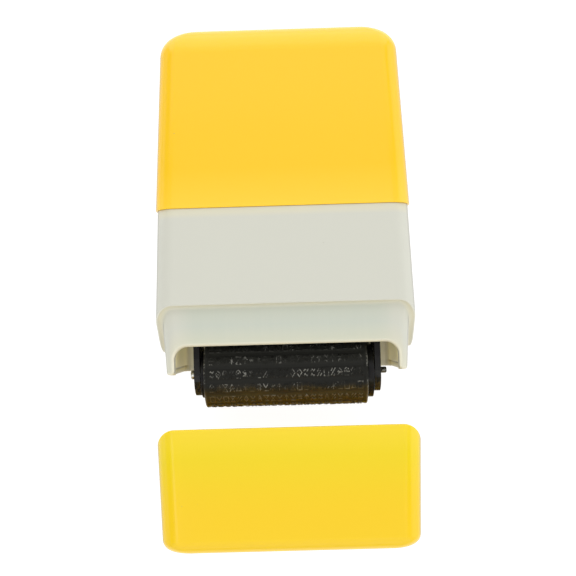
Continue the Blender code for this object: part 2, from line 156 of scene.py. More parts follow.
FOAM_BARE = 0.0005  # how much foam round the bore has no lumps
FOAM_LUMPS = 1400  # lumps in a metre, as for the pads
FOAM_LUMP_DEPTH = 0.00012
PAD_LUMPS = 900
PAD_LUMP_DEPTH = 0.00008
SMALLEST_CORNER = 0.0001
COLLAR_SHADE_FADE = 0.004  # over how much of the width the painted shade on the collar fades out
FLAT_FACE_WEIGHT = 90
FLOOR_GAP = 0.0001


def length(name, description, default):
    units = {"precision": 5, "unit": "LENGTH", "subtype": "DISTANCE"}
    return FloatProperty(name=name, description=description, default=default, min=0, **units)


def angle(name, description, degrees):
    return FloatProperty(name=name, description=description, default=math.radians(degrees), subtype="ANGLE")


def count(name, description, default):
    return IntProperty(name=name, description=description, default=default, min=3)


def amount(name, description, default):
    return FloatProperty(name=name, description=description, default=default, min=0)


def colour(name, description, default):
    """A colour as 0 to 255 on a screen, kept as linear light."""
    light = [((channel / 255 + 0.055) / 1.055) ** 2.4 for channel in default]
    limits = {"min": 0, "max": 1, "subtype": "COLOR"}
    return FloatVectorProperty(name=name, description=description, default=light, **limits)


class HousingSizes(bpy.types.PropertyGroup):
    """Sizes of the ivory housing"""

    half_width: length("Half width", "From the middle to a side at the step", HALF_HOUSING)
    half_depth: length("Half depth", "From the middle to the front face", high_of("main_housing").z - MIDDLE)
    taper: length("Taper", "How much each side narrows from step to parting line", 0.0009)
    corner: length("Corner radius", "Radius of the four long corners", 0.0043)
    step_level: length("Step level", "Where the cap stops, above the mouth", 0.0158)
    parting_level: length("Parting level", "Where the cover stands, above the mouth", 0.0380)
    tip_radius: length("Tip radius", "Radius of the round end of a side tongue", 0.0092)
    tongue_angle: angle("Tongue angle", "Slope of the flanks of a tongue", 45)
    rear_drop: length("Rear drop", "How far the step lies lower at the rear", 0.0032)
    inset: length("Inset", "How far the collar stands back from the step", 0.0016)
    collar_taper: length("Collar taper", "How much each side narrows towards the mouth", 0.0007)
    collar_wall: length("Collar wall", "Thickness of the collar", 0.0018)
    arch_height: length("Arch height", "Height of the opening in the front wall", 0.00645)
    arch_corner: length("Arch corner", "Radius of the upper corners of that opening", 0.0030)


class MouldingSizes(bpy.types.PropertyGroup):
    """Sizes of the yellow cover and cap"""

    half_depth: length("Half depth", "From the middle to the front face", HALF_DEEP)
    cover_half: length("Half rim of the cover", "From the middle to a side", high_of("upper_cover").x)
    cover_taper: length("Cover taper", "How much each side narrows towards the top", 0.0020)
    cover_wall: length("Cover wall", "Thickness of the cover", 0.0018)
    cover_round: length("Cover rounding", "Radius of the top edge towards the sides", 0.0070)
    cover_round_deep: length("Rounding in depth", "The same towards front and back", 0.0060)
    cap_half: length("Half rim of the cap", "From the middle to a side", high_of("cap").x)
    cap_taper: length("Cap taper", "How much each side narrows towards the end", 0.00075)
    cap_wall: length("Cap wall", "Thickness of the cap", 0.0016)
    cap_round: length("Cap rounding", "Radius of the end edge of the cap", 0.0032)
    cap_distance: length("Cap distance", "From the mouth to the rim of the cap", 0.0121)


class RollerSizes(bpy.types.PropertyGroup):
    """Sizes of the rollers and of the marks"""

    radius: length("Print radius", "From the axis to the face of the marks", 0.0080)
    relief: length("Relief", "How far the marks stand up", 0.00030)
    rib: length("Rib", "How far the pad under each row stands up", 0.00014)
    rib_width: length("Rib width", "Width of that pad, round the roller", 0.0024)
    thickness: length("Rubber thickness", "From the face of the marks to the drum", 0.0021)
    mark_height: length("Mark height", "Height of a mark, round the roller", 0.0021)
    mark_width: length("Mark width", "Width of a mark, along the roller", 0.00142)
    stroke: length("Stroke", "Width of the strokes of a mark", 0.00024)
    margin: length("Margin", "Plain rubber at each end", 0.0011)
    rows: count("Rows", "Rows of marks round the roller", 15)
    marks: count("Marks in a row", "How many marks a row holds", 23)
    first_row: angle("First row", "Where the first row lies, from the top", 1.5)
    pattern: count("Pattern", "Picks another arrangement of the marks", 7)
    pin_radius: length("Pin radius", "Radius of both steel pins", 0.00075)
    foam_radius: length("Foam radius", "Radius of the inking roller", 0.0070)


class Colours(bpy.types.PropertyGroup):
    """Colours of the finishes"""

    yellow: colour("Yellow plastic", "Upper cover", (238, 191, 11))
    yellow_deep: colour("Deep yellow", "Thicker or shaded yellow", (237, 185, 7))
    # Paler rounded edges: partly wear, partly a painted highlight
    yellow_edge_wear_and_highlight: colour("Edge yellow", "Rounded edges, which are paler", (250, 208, 70))
    cap: colour("Cap yellow", "The cap, which is more lemon", (235, 195, 4))
    cap_rim: colour("Cap rim yellow", "The cap near its rim, where light comes through", (226, 202, 8))
    ivory: colour("Ivory plastic", "Housing", (199, 199, 187))
    # The tint of painted warm light, in hollows, on some edges and on the inner walls
    ivory_warm_light: colour("Warm ivory", "Where the housing picks up a warm tint", (236, 221, 164))
    black: colour("Black plastic", "Roller frame and tank", (20, 19, 20))
    ink: colour("Ink", "Wet ink on the rubber", (35, 35, 32))
    # Also the brown of painted reflection on the rubber, and of painted light at the lower ends of the arms
    thin_ink_and_reflection: colour("Thin ink", "Ink where its film has run thin", (72, 61, 36))
    # A painted highlight on the faces of the marks and on the edges of the end bands
    ink_highlight: colour("Worn ink", "Ink on the faces of the marks", (136, 135, 128))
    drum: colour("Drum plastic", "Cores of the rollers", (206, 204, 192))
    steel: colour("Steel", "Pins and washers", (196, 196, 190))
    seal: colour("Seal rubber", "Gasket and plug", (58, 58, 60))
    foam: colour("Foam", "Soaked foam", (36, 33, 38))
    felt: colour("Felt", "Soaked felt", (56, 52, 54))
    floor: colour("Floor", "Floor of the studio", (130, 130, 130))


class StudioSizes(bpy.types.PropertyGroup):
    """The camera and the light"""

    camera_place: FloatVectorProperty(
        name="Camera",
        description="Where the camera hangs",
        default=(0.0024633, -0.0122502, 0.2118328),
        subtype="TRANSLATION",
    )
    camera_turn: FloatVectorProperty(
        name="Camera turn",
        description="How the camera is turned from looking straight down",
        default=[math.radians(degrees) for degrees in (3.41662, 0.61911, -1.62309)],
        subtype="EULER",
    )
    lens: amount("Lens", "Focal length in millimetres", 50.4145)
    floor_half: length("Floor", "From the middle of the floor to its edge", 6.0)
    brightness: amount("Brightness", "Strength of all the lamps", 1.28)
    sky: amount("Sky", "Strength of the white surroundings", 0.52)


GROUPS = {
    "stamp_housing": HousingSizes,
    "stamp_moulding": MouldingSizes,
    "stamp_roller": RollerSizes,
    "stamp_colours": Colours,
    "stamp_studio": StudioSizes,
}


# Shapes

EDGE_STEPS = 5
ROUND_STEPS = 16
TURN_STEPS = 96
PIN_STEPS = 48
FOAM_STEPS = 120
BLOCK_STEPS = 6
BEVEL_STEPS = 3
ROW_STEPS = 16  # steps round the rubber for each row of marks
SHARP_ANGLE = math.radians(35)  # a CAD edge is rounded when it is sharper than this
STRAIGHT_HALF = math.radians(88)  # half the angle from which a corner counts as straight
CORNER_SHARE = 0.48  # how much of a side the rounding of a corner may take
END_CORNER_SHARE = 0.3  # how much of its corner radius a block keeps at the middle of its ends
QUARTER = math.pi / 2
SIDES = (("left", -1), ("right", 1))


def stepped(start, end, steps):
    """Even steps from start towards end, without the end itself."""
    return [start + (end - start) * k / steps for k in range(steps)]


def clamped(value, low=0, high=1):
    return min(max(value, low), high)


# A mark is a place on a quarter of a plan loop: 0 to 1 up the side, 1 to 2 round the corner, and 2 to 3 along
# the front
PLAIN_MARKS = stepped(0, 1, 10) + stepped(1, 2, 14) + stepped(2, 3, 14) + [3.0]


def plan_point(spot, mark):
    """The point at a mark of a plan, which is given as (half width, half depth, corner radius)."""
    half_x, half_z, radius = spot
    if mark <= 1:
        return half_x, (half_z - radius) * mark
    if mark <= 2:
        turn = (mark - 1) * QUARTER
        return half_x - radius + radius * math.cos(turn), half_z - radius + radius * math.sin(turn)
    return (half_x - radius) * (3 - mark), half_z


def plan_mark(spot, x):
    """The mark of the point of the corner or the front at this x."""
    half_x, _, radius = spot
    straight = half_x - radius
    if x <= straight:
        return 3 - x / straight
    return 1 + math.acos(min(1.0, (x - straight) / radius)) / QUARTER


def plan_depth(spot, x):
    """How deep the front wall lies at this x, also in the corner."""
    half_x, half_z, radius = spot
    over = clamped(x - half_x + radius, 0, radius)
    return half_z - radius + math.sqrt(radius**2 - over**2)


def shrink(spot, inset):
    return spot[0] - inset, spot[1] - inset, max(spot[2] - inset, SMALLEST_CORNER)


def mirrored(front, back=None):
    """A whole loop from its front and back quarters, as (entry of the quarter, sign of x, sign of z)."""
    back = back or front
    loop = [(entry, 1, 1) for entry in front] + [(entry, -1, 1) for entry in front[-2::-1]]
    return loop + [(entry, -1, -1) for entry in back[1:]] + [(entry, 1, -1) for entry in back[-2:0:-1]]


PLAIN_LOOP = mirrored(PLAIN_MARKS)


def ring(spot, level, dips=None, loop=PLAIN_LOOP):
    """A plan loop at one level, lowered by dips where those are given."""
    points = []
    for (mark, sign_x, sign_z), dip in zip(loop, dips or [0.0] * len(loop)):
        x, z = plan_point(spot, mark)
        points.append(Vector((sign_x * x, level - dip, sign_z * z)))
    return points


def between(low, high, share):
    """A loop on the way from one loop to another."""
    return [a.lerp(b, share) for a, b in zip(low, high)]


def edge_steps(radius, steps=EDGE_STEPS):
    """Steps round a rounded edge, as (distance along the first face, distance along the second)."""
    turns = [QUARTER * k / steps for k in range(steps + 1)]
    return [(radius * (1 - math.sin(turn)), radius * (1 - math.cos(turn))) for turn in turns]


def soften(corners, radius, steps=4):
    """The closed outline with its corners rounded, but not those on the axis, where y is 0."""
    corners = [Vector(corner) for corner in corners]
    outline = []
    for k, corner in enumerate(corners):
        before = corners[k - 1] - corner
        after = corners[(k + 1) % len(corners)] - corner
        half = before.angle(after) / 2
        if half > STRAIGHT_HALF or corner.y == 0:
            outline.append(corner)
            continue
        reach = min(radius / math.tan(half), before.length * CORNER_SHARE, after.length * CORNER_SHARE)
        own = reach * math.tan(half)
        middle = corner + (before.normalized() + after.normalized()).normalized() * (own / math.sin(half))
        start = corner + before.normalized() * reach - middle
        end = corner + after.normalized() * reach - middle
        for step in range(steps + 1):
            outline.append(middle + start.slerp(end, step / steps).normalized() * own)
    return outline


def circle(radius, at, steps=TURN_STEPS):
    """A round loop about the X axis."""
    turns = [4 * QUARTER * k / steps for k in range(steps)]
    return [Vector((at, radius * math.cos(turn), radius * math.sin(turn))) for turn in turns]


def outwards(point):
    """The way from the X axis to a point."""
    return Vector((0, point.y, point.z)).normalized()


def skin(rings, loop=False, values=None, mesh=None):
    """A closed mesh through rings of points.

    values gives each ring its {attribute: value or list of values}.
    """
    mesh = mesh or bmesh.new()
    values = values or [{}] * len(rings)
    names = sorted({name for one in values for name in one})
    layers = {name: mesh.verts.layers.float.get(name) or mesh.verts.layers.float.new(name) for name in names}
    loops = []
    for points, one in zip(rings, values):
        verts = [mesh.verts.new(point) for point in points]
        for name, value in one.items():
            for k, vert in enumerate(verts):
                vert[layers[name]] = value[k] if isinstance(value, list) else value
        loops.append(verts)
    pairs = list(zip(loops, loops[1:]))
    if loop:
        pairs.append((loops[-1], loops[0]))
    else:
        mesh.faces.new(loops[0])
        mesh.faces.new(loops[-1])
    for low, high in pairs:
        for k in range(len(low)):
            after = (k + 1) % len(low)
            mesh.faces.new((low[k], low[after], high[after], high[k]))
    return mesh


def rod(corners, soft):
    """A solid turned about X from an open profile of (x, radius) corners, which are rounded."""
    closed = [(corners[0][0], 0), *corners, (corners[-1][0], 0)]
    return skin([circle(point.y, point.x, PIN_STEPS) for point in soften(closed, soft) if point.y > 0])


def block(spot, low, high, edge, roughen=0.0):
    """A block with round corners and edges, whose ends are closed by shrinking loops.

    roughen makes its skin lumpy, by about this many metres.
    """
    reach = min(spot[0], spot[1])
    flat = stepped(edge, reach, BLOCK_STEPS)[1:]
    bottom = [(inset, low + rise) for rise, inset in edge_steps(edge)] + [(inset, low) for inset in flat]
    top = [(inset, low + high - level) for inset, level in bottom]
    middle = [(0, level) for level in stepped(low + edge, high - edge, BLOCK_STEPS)[1:]]
    loops = []
    for inset, level in bottom[::-1] + middle + top:
        corner = max(spot[2] - inset, spot[2] * END_CORNER_SHARE)
        loops.append(ring((spot[0] - inset, spot[1] - inset, corner), level))
    if roughen:
        noise.seed_set(1)  # unseeded, noise_vector would differ from run to run
        centre = Vector((0, (low + high) / 2, 0))
        for point in (point for points in loops for point in points):
            point += (noise.noise_vector(point * PAD_LUMPS) + (centre - point).normalized()) * roughen
    return skin(loops)


def mesh_data(name, mesh):
    """The mesh as data that an object can hold."""
    data = bpy.data.meshes.new(name)
    mesh.to_mesh(data)
    mesh.free()
    return data


def placed(name, data, at):
    """An object in the scene with this data, at this place."""
    obj = bpy.data.objects.new(name, data)
    obj.location = at
    bpy.context.scene.collection.objects.link(obj)
    return obj


def piece(name, mesh, look, body, replaces=(), slot=None, at=HOME):
    """A piece of the stamp from a mesh, in one finish, riding on a body of the frame."""
    bmesh.ops.recalc_face_normals(mesh, faces=mesh.faces)
    obj = placed(name, mesh_data(name, mesh), at)
    obj.data.materials.append(look)
    obj.data.shade_smooth()
    # Flat faces keep their own shading up to the rounded edges between them
    obj.modifiers.new("even_shading", "WEIGHTED_NORMAL").weight = FLAT_FACE_WEIGHT
    if replaces:
        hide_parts(*replaces)
    bpy.context.view_layer.update()
    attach(obj, body)
    return obj


def dress(node, look, edge):
    """Gives a carried-over CAD node its finish, and rounds its edges by the edge radius."""
    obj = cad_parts[node]
    bevel = obj.modifiers.new("rounded_edges", "BEVEL")
    bevel.width = edge
    bevel.segments = BEVEL_STEPS
    bevel.limit_method = "ANGLE"
    bevel.angle_limit = SHARP_ANGLE
    bevel.harden_normals = True
    obj.data.materials.clear()
    obj.data.materials.append(look)


# Finishes


class Term:
    """A shader socket that takes part in sums and products: each operator adds its Math node."""

    def __init__(self, look, socket):
        self.look = look
        self.socket = socket

    def _math(self, operation, first, second):
        return self.look.node("ShaderNodeMath", {"operation": operation}, {0: first, 1: second})

    def __add__(self, other):
        return self._math("ADD", self, other)

    def __sub__(self, other):
        return self._math("SUBTRACT", self, other)

    def __rsub__(self, other):
        return self._math("SUBTRACT", other, self)

    def __mul__(self, other):
        return self._math("MULTIPLY", self, other)

    def __lt__(self, other):
        return self._math("LESS_THAN", self, other)

    def __abs__(self):
        return self._math("ABSOLUTE", self, 0)

    __radd__ = __add__
    __rmul__ = __mul__


class Look:
    """A finish: one material, its node tree and the terms that its shader is fed with."""

    def __init__(self, name, swatch, constants=None):
        self.material = bpy.data.materials.new(name)
        self.material.use_nodes = True
        self.material.diffuse_color = (*swatch, 1)
        self.shader = self.material.node_tree.nodes["Principled BSDF"]
        self.place = self.node("ShaderNodeTexCoord", output="Object")
        for socket, value in (constants or {}).items():
            self.shader.inputs[socket].default_value = value

    def node(self, kind, settings=None, values=None, output=0):
        """A node with its settings and its sockets' values or links. Returns one output as a term."""
        node = self.material.node_tree.nodes.new(kind)
        for setting, value in (settings or {}).items():
            setattr(node, setting, value)
        for socket, value in (values or {}).items():
            self.feed(node.inputs[socket], value)
        return Term(self, node.outputs[output])

    def feed(self, socket, value):
        """Links a term to a socket, or sets the socket to a number or colour."""
        if isinstance(value, Term):
            self.material.node_tree.links.new(value.socket, socket)
        elif hasattr(value, "__len__"):
            socket.default_value = [*value, 1][: len(socket.default_value)]
        else:
            socket.default_value = value

    def noise(self, size, detail=2, vector=None, roughness=0.5, distortion=0.0):
        """Soft noise from 0 to 1 with blotches about this many metres across."""
        values = {"Vector": vector or self.place, "Scale": 1 / size, "Detail": detail}
        values |= {"Roughness": roughness, "Distortion": distortion}
        return self.node("ShaderNodeTexNoise", {}, values)

    def stretch(self, scale):
        """The object's coordinates, scaled along each axis."""
        return self.node("ShaderNodeVectorMath", {"operation": "MULTIPLY"}, {0: self.place, 1: scale})

    def ramp(self, value, low, high):
        """The value spread from low and high to 0 and 1, with soft ends."""
        settings = {"interpolation_type": "SMOOTHSTEP"}
        return self.node("ShaderNodeMapRange", settings, {"Value": value, "From Min": low, "From Max": high})

    def mix(self, share, first, second):
        """The first colour, with this share of the second."""
        settings = {"data_type": "RGBA", "clamp_factor": True}
        return self.node("ShaderNodeMix", settings, {0: share, 6: first, 7: second}, output=2)

    def along(self, axis):
        """The object's coordinate along one axis."""
        return self.node("ShaderNodeSeparateXYZ", {}, {0: self.place}, axis)

    def painted_side_shade(self):
        """From 0 to 1 where the surface turns to the left or right, which takes painted shade."""
        normal = self.node("ShaderNodeTexCoord", output="Normal")
        return self.ramp(abs(self.node("ShaderNodeSeparateXYZ", {}, {0: normal}, "X")), *SIDE_SHADE_RANGE)

    def marked(self, name):
        """A value that the mesh carries at its points."""
        return self.node("ShaderNodeAttribute", {"attribute_name": name}, output="Fac")

    def specks(self, size, radius, share):
        """Small sparse specks: cells of this size, of which only a share hold a speck."""
        where = {"Vector": self.place, "Scale": 1 / size}
        distance = self.node("ShaderNodeTexVoronoi", {}, where, "Distance")
        tint = self.node("ShaderNodeTexVoronoi", {}, where, "Color")
        return (distance < radius) * (self.node("ShaderNodeSeparateColor", {}, {0: tint}) < share)

    def finish(self, base, roughness, height=None, distance=0.0001, strength=1.0, coat=None):
        """Feeds the shader and returns the material. height gives a bump this many metres deep."""
        self.feed(self.shader.inputs["Base Color"], base)
        self.feed(self.shader.inputs["Roughness"], roughness)
        if coat is not None:
            self.feed(self.shader.inputs["Coat Weight"], coat)
        if height is not None:
            values = {"Height": height, "Distance": distance, "Strength": strength}
            self.feed(self.shader.inputs["Normal"], self.node("ShaderNodeBump", {}, values))
        return self.material


def toned(tint, share):
    """A colour made darker or lighter by a factor."""
    return [channel * share for channel in tint]


# Tints that no user would change, as linear light
NO_LIGHT = (0, 0, 0)
DUST_ON_YELLOW = (0.32, 0.20, 0.04)
DUST_ON_IVORY = (0.25, 0.22, 0.17)
# Painted shade on the collar
COLLAR_SHADE_IVORY = (0.50, 0.53, 0.455)
# Paler rounded edges: partly wear, partly a painted highlight
EDGE_IVORY_WEAR_AND_HIGHLIGHT = (0.80, 0.79, 0.71)
SHADED_IVORY = (0.30, 0.26, 0.12)
LIGHT_THROUGH = (0.12, 0.11, 0.075)
WARM_LIGHT_THROUGH = (0.23, 0.20, 0.085)

# Where a tint begins and where it is full, in metres along an axis, except for the painted side shade
SIDE_SHADE_RANGE = (0.80, 0.97)
CAP_RIM_ZONE = (-0.034, -0.012)
# Where the inner walls behind the rollers are darkened
DARK_WALL_HALF = 0.0216
DARK_WALL_ZONE = (0.0030, 0.0055)
# Where painted light in brown lies at the lower ends of the arms
BROWN_END_ZONE = (0.0225, 0.0255)
# Where the brown painted reflection lies on the rubber
BROWN_REFLECTION_ZONE = (0.0036, 0.0068)
# Where painted light lifts the ink in the shade of the housing
PAINTED_LIGHT_ZONE = (0.0010, 0.0055)
PIN_TAIL_ZONE = (0.0205, 0.0215)


def yellow_plastic(name, plain, deep, pale, gloss, rim=None):
    """Glossy moulded plastic: a faint orange peel, slow changes of tone, hairline scuffs and a few specks."""
    look = Look(name, plain, {"IOR": gloss})
    slow = look.noise(0.030, 2)
    cloud = look.noise(0.009, 3)
    peel = look.noise(0.0016, 2)
    scuffs = look.ramp(look.noise(0.0007, 4, look.stretch((1.0, 0.06, 1.0)), 0.6), 0.62, 0.75)
    edge = look.marked("edge")
    dust = look.specks(0.0035, 0.045, 0.10)
    tone = look.mix(slow * 0.3 + cloud * 0.05, plain, deep)
    if rim:
        tone = look.mix(look.ramp(look.along("Y"), *CAP_RIM_ZONE), tone, rim)
    # Paler rounded edges: partly wear, partly a painted highlight
    tone = look.mix(edge * 0.4, tone, pale)
    # Painted shade where the surface turns to the sides
    tone = look.mix(look.painted_side_shade() * 0.9, tone, toned(plain, 0.55))
    tone = look.mix(dust * 0.35, tone, DUST_ON_YELLOW)
    roughness = 0.16 + cloud * 0.05 + scuffs * 0.08 + dust * 0.25
    return look.finish(tone, roughness, peel + scuffs * 0.4 + dust * 0.8, 0.00002, 0.25)


def cover_plastic(colours):
    """The yellow of the upper cover."""
    return yellow_plastic("cover_plastic", colours.yellow, colours.yellow_deep, colours.yellow_edge_wear_and_highlight, 1.48)


def cap_plastic(colours):
    """The yellow of the cap, which is lighter towards its rim."""
    deep = toned(colours.cap, 0.96)
    return yellow_plastic("cap_plastic", colours.cap, deep, colours.yellow_edge_wear_and_highlight, 1.42, colours.cap_rim)


def ivory_plastic(colours):
    """Satin plastic: painted warm light in its hollows and on some edges, painted shade on its collar, in its
    rebate and where it turns to the sides, darker behind the rollers, and painted light through its walls.
    """
    look = Look("ivory_plastic", colours.ivory, {"IOR": 1.48, "Emission Strength": 1.0})
    slow = look.noise(0.022, 2)
    cloud = look.noise(0.006, 3)
    grain = look.noise(0.00035, 2)
    peel = look.noise(0.0020, 2)
    warm, edge, rub, shade, inner = (look.marked(name) for name in ("warm", "edge", "rub", "shade", "inner"))
    dust = look.specks(0.0030, 0.04, 0.08)
    streaks = look.noise(0.0012, 3, look.stretch((1.0, 0.05, 1.0)), 0.6)
    tone = look.mix(slow * 0.4 + cloud * 0.1, colours.ivory, toned(colours.ivory, 0.95))
    # Painted shade on the collar, in streaks
    tone = look.mix(rub * (0.7 + streaks * 0.5), tone, COLLAR_SHADE_IVORY)
    # Paler rounded edges: partly wear, partly a painted highlight
    tone = look.mix(edge * 0.5, tone, EDGE_IVORY_WEAR_AND_HIGHLIGHT)
    # Painted warm light
    tone = look.mix(warm * (0.75 + cloud * 0.5), tone, colours.ivory_warm_light)
    tone = look.mix(dust * 0.35, tone, DUST_ON_IVORY)
    tone = look.mix(shade * 0.8, tone, SHADED_IVORY)
    # Painted shade where the outside turns to the sides
    tone = look.mix(look.painted_side_shade() * (1 - inner) * 0.9, tone, toned(colours.ivory, 0.65))
    # The inner walls behind the rollers are darkened to the colour of ink, and give no light there
    behind = look.ramp(DARK_WALL_HALF - abs(look.along("X")) + streaks * 0.0006, 0.0, 0.0012)
    dark_behind_rollers = look.ramp(inner, 0.0, 0.25) * behind * look.ramp(look.along("Y"), *DARK_WALL_ZONE)
    tone = look.mix(dark_behind_rollers * 0.9, tone, colours.ink)
    through = look.mix(inner * (0.85 + cloud * 0.3), NO_LIGHT, LIGHT_THROUGH)
    glow = look.mix(warm * inner * 0.6, through, WARM_LIGHT_THROUGH)
    look.feed(look.shader.inputs["Emission Color"], look.mix(shade * 0.8 + dark_behind_rollers, glow, NO_LIGHT))
    roughness = 0.38 + cloud * 0.08 - edge * 0.06 - rub * streaks * 0.10
    return look.finish(tone, roughness, peel * 0.7 + grain * 0.3, 0.00002, 0.22)


def black_plastic(colours):
    """Black plastic, wetted by ink in patches, with painted light in brown streaks at the lower ends of the
    arms.
    """
    look = Look("black_plastic", colours.black, {"IOR": 1.5, "Specular IOR Level": 0.2})
    cloud = look.noise(0.004, 3)
    grain = look.noise(0.0003, 2)
    wet = look.ramp(look.noise(0.0030, 3), 0.42, 0.60)
    streaks = look.noise(0.0007, 3, look.stretch((1.0, 0.08, 1.0)))
    # Painted light: brown streaks towards the lower ends of the arms
    brown_ends = look.ramp(streaks * 0.002 - look.along("Y"), *BROWN_END_ZONE)
    tone = look.mix(wet * 0.7, colours.black, colours.ink)
    tone = look.mix(brown_ends * look.ramp(streaks, 0.35, 0.6), tone, colours.thin_ink_and_reflection)
    return look.finish(tone, 0.42 + cloud * 0.12 - wet * 0.26, grain * (1 - wet) + wet * 0.6, 0.00002, 0.35)


def inked_rubber(colours):
    """Rubber under a film of ink: a brown painted reflection towards its lower side, painted light towards
    its upper side, and grey painted highlights on the faces of the marks and the edges of its end bands.
    """
    look = Look("inked_rubber", colours.ink, {"IOR": 1.4, "Specular IOR Level": 0.10, "Coat Roughness": 0.08})
    film = look.noise(0.0026, 2, look.stretch((0.4, 1.0, 1.0)), 0.5, 0.6)
    fine = look.noise(0.00045, 3)
    # A painted reflection: brown towards the lower side of the roller
    brown_reflection = look.ramp(film * 0.003 - look.along("Y"), *BROWN_REFLECTION_ZONE)
    face = look.marked("face")
    # Painted light: the ink lighter towards the upper side, which the housing shades
    tone = look.mix(look.ramp(look.along("Y"), *PAINTED_LIGHT_ZONE), colours.ink, toned(colours.ink, 2.4))
    # Brown painted reflection
    tone = look.mix(brown_reflection * (0.8 + fine * 0.3), tone, colours.thin_ink_and_reflection)
    # Painted highlights in patches on the faces of the marks
    painted_light_mask = look.ramp(look.noise(0.0030, 2), 0.44, 0.64) * look.ramp(look.noise(0.0005, 2), 0.40, 0.60)
    tone = look.mix(face * painted_light_mask, tone, colours.ink_highlight)
    # An olive painted highlight on the faces where the brown painted reflection lies
    tone = look.mix(face * brown_reflection * 0.7, tone, toned(colours.thin_ink_and_reflection, 2.2))
    roughness = 0.26 + fine * 0.12 - brown_reflection * 0.10
    return look.finish(tone, roughness, film * 0.9 + fine * 0.1, 0.00004, 0.3, brown_reflection * 0.35)


def steel(colours):
    """Drawn steel, with fine lines along the pin and ink stains."""
    look = Look("steel", colours.steel, {"Metallic": 1.0})
    drawn = look.noise(0.00012, 3, look.stretch((0.05, 1.0, 1.0)))
    tail = look.ramp(look.along("X"), *PIN_TAIL_ZONE)
    stain = look.ramp(look.noise(0.0009, 3), 0.50, 0.62) * 0.45 + tail * 0.70
    tone = look.mix(stain, colours.steel, colours.ink)
    return look.finish(tone, 0.22 + drawn * 0.16 + stain * 0.20, drawn, 0.00001, 0.4)


def drum_plastic(colours):
    """Hard pale plastic, stained by ink."""
    look = Look("drum_plastic", colours.drum, {"IOR": 1.48})
    cloud = look.noise(0.003, 3)
    stain = look.ramp(look.noise(0.004, 3, None, 0.6), 0.45, 0.65)
    tone = look.mix(stain * 0.55, colours.drum, colours.thin_ink_and_reflection)
    return look.finish(tone, 0.40 + cloud * 0.12, cloud, 0.00002, 0.3)


def seal_rubber(colours):
    """Soft matt rubber."""
    look = Look("seal_rubber", colours.seal, {"IOR": 1.45})
    grain = look.noise(0.0002, 2)
    cloud = look.noise(0.003, 3)
    tone = look.mix(cloud * 0.5, colours.seal, toned(colours.seal, 1.6))
    return look.finish(tone, 0.58 + cloud * 0.16, grain, 0.00002, 0.5)


def ink_foam(colours):
    """Open-cell foam, soaked: small round pores, painted darker at their middles as shade in them, wet in
    places.
    """
    look = Look("ink_foam", colours.foam)
    pores = look.node("ShaderNodeTexVoronoi", {}, {"Vector": look.place, "Scale": 1 / 0.00055}, "Distance")
    cloud = look.noise(0.003, 3)
    # Painted shade in the pores
    tone = look.mix(look.ramp(pores, 0.1, 0.5), toned(colours.foam, 0.35), colours.foam)
    return look.finish(tone, 0.72 + cloud * 0.2, pores, 0.00018, 0.8)


def ink_felt(colours):
    """Pressed felt: short fibres that lie every way."""
    look = Look("ink_felt", colours.felt)
    ways = ((1.0, 0.12, 1.0), (0.12, 1.0, 1.0))
    one, other = (look.noise(0.00035, 3, look.stretch(way), 0.7) for way in ways)
    tone = look.mix(one * 0.6 + other * 0.3, toned(colours.felt, 0.6), toned(colours.felt, 1.5))
    return look.finish(tone, 0.86 + one * 0.1, one + other, 0.00010, 0.7)


def studio_floor(colours):
    """Smooth pale board."""
    look = Look("studio_floor", colours.floor, {"Emission Color": (1, 1, 1, 1), "Emission Strength": 0.92})
    cloud = look.noise(0.20, 2)
    tone = look.mix(cloud * 0.3, colours.floor, toned(colours.floor, 0.985))
    return look.finish(tone, 0.75 + cloud * 0.1)


MADE_FINISHES = {}


def finish_of(context, finish):
    """The material of a finish, which is made the first time it is asked for."""
    if finish not in MADE_FINISHES:
        MADE_FINISHES[finish] = finish(context.scene.stamp_colours)
    return MADE_FINISHES[finish]


# Housing

# How far the loops above the opening stand off its edge, as (on the outer face, on the inner face): at the
# foot of a leg, under its corner and over its corner. So no two of their points fall together.
STAND_OFFS = ((0.0002, 0.0), (0.00008, -0.00006), (-0.00012, -0.0002))

# Rings up the outer wall above the step, as (share of the way to the parting line, how much painted warm
# light)
OUTER_WALL = ((0.33, 0), (0.66, 0), (0.90, 0), (0.945, 0.18))

# Rings down the inner wall, as (level, how much painted warm light, how much light comes through)
INNER_WALL = ((0.030, 0.5, 0.0), (0.019, 0.8, 0.3), (0.012, 1.0, 0.7))

# Rings down the rebate, as (how far off the edge, share of its height, how dark)
REBATE_RINGS = ((0.00009, 1.0, 1.0), (0.00006, 0.85, 0.8), (0.00003, 0.6, 0.0))


def step_dips(sizes, loop=PLAIN_LOOP):
    """How far the step, and the cap's rim with it, lies below its front level at each point of a loop."""
    foot = sizes.tip_radius * math.sin(sizes.tongue_angle)
    rise = math.tan(sizes.tongue_angle)
    lost = sizes.tip_radius * (1 / math.cos(sizes.tongue_angle) - 1)
    deepest = sizes.half_depth * rise - lost
    dips = []
    for mark, _, sign_z in loop:
        z = plan_point((sizes.half_width, sizes.half_depth, sizes.corner), mark)[1]
        if z < foot:
            dip = deepest - sizes.tip_radius + math.sqrt(sizes.tip_radius**2 - z**2)
        else:
            dip = (sizes.half_depth - z) * rise
        if sign_z < 0:
            dip = sizes.rear_drop + dip * (1 - sizes.rear_drop / deepest)
        dips.append(dip)
    return dips


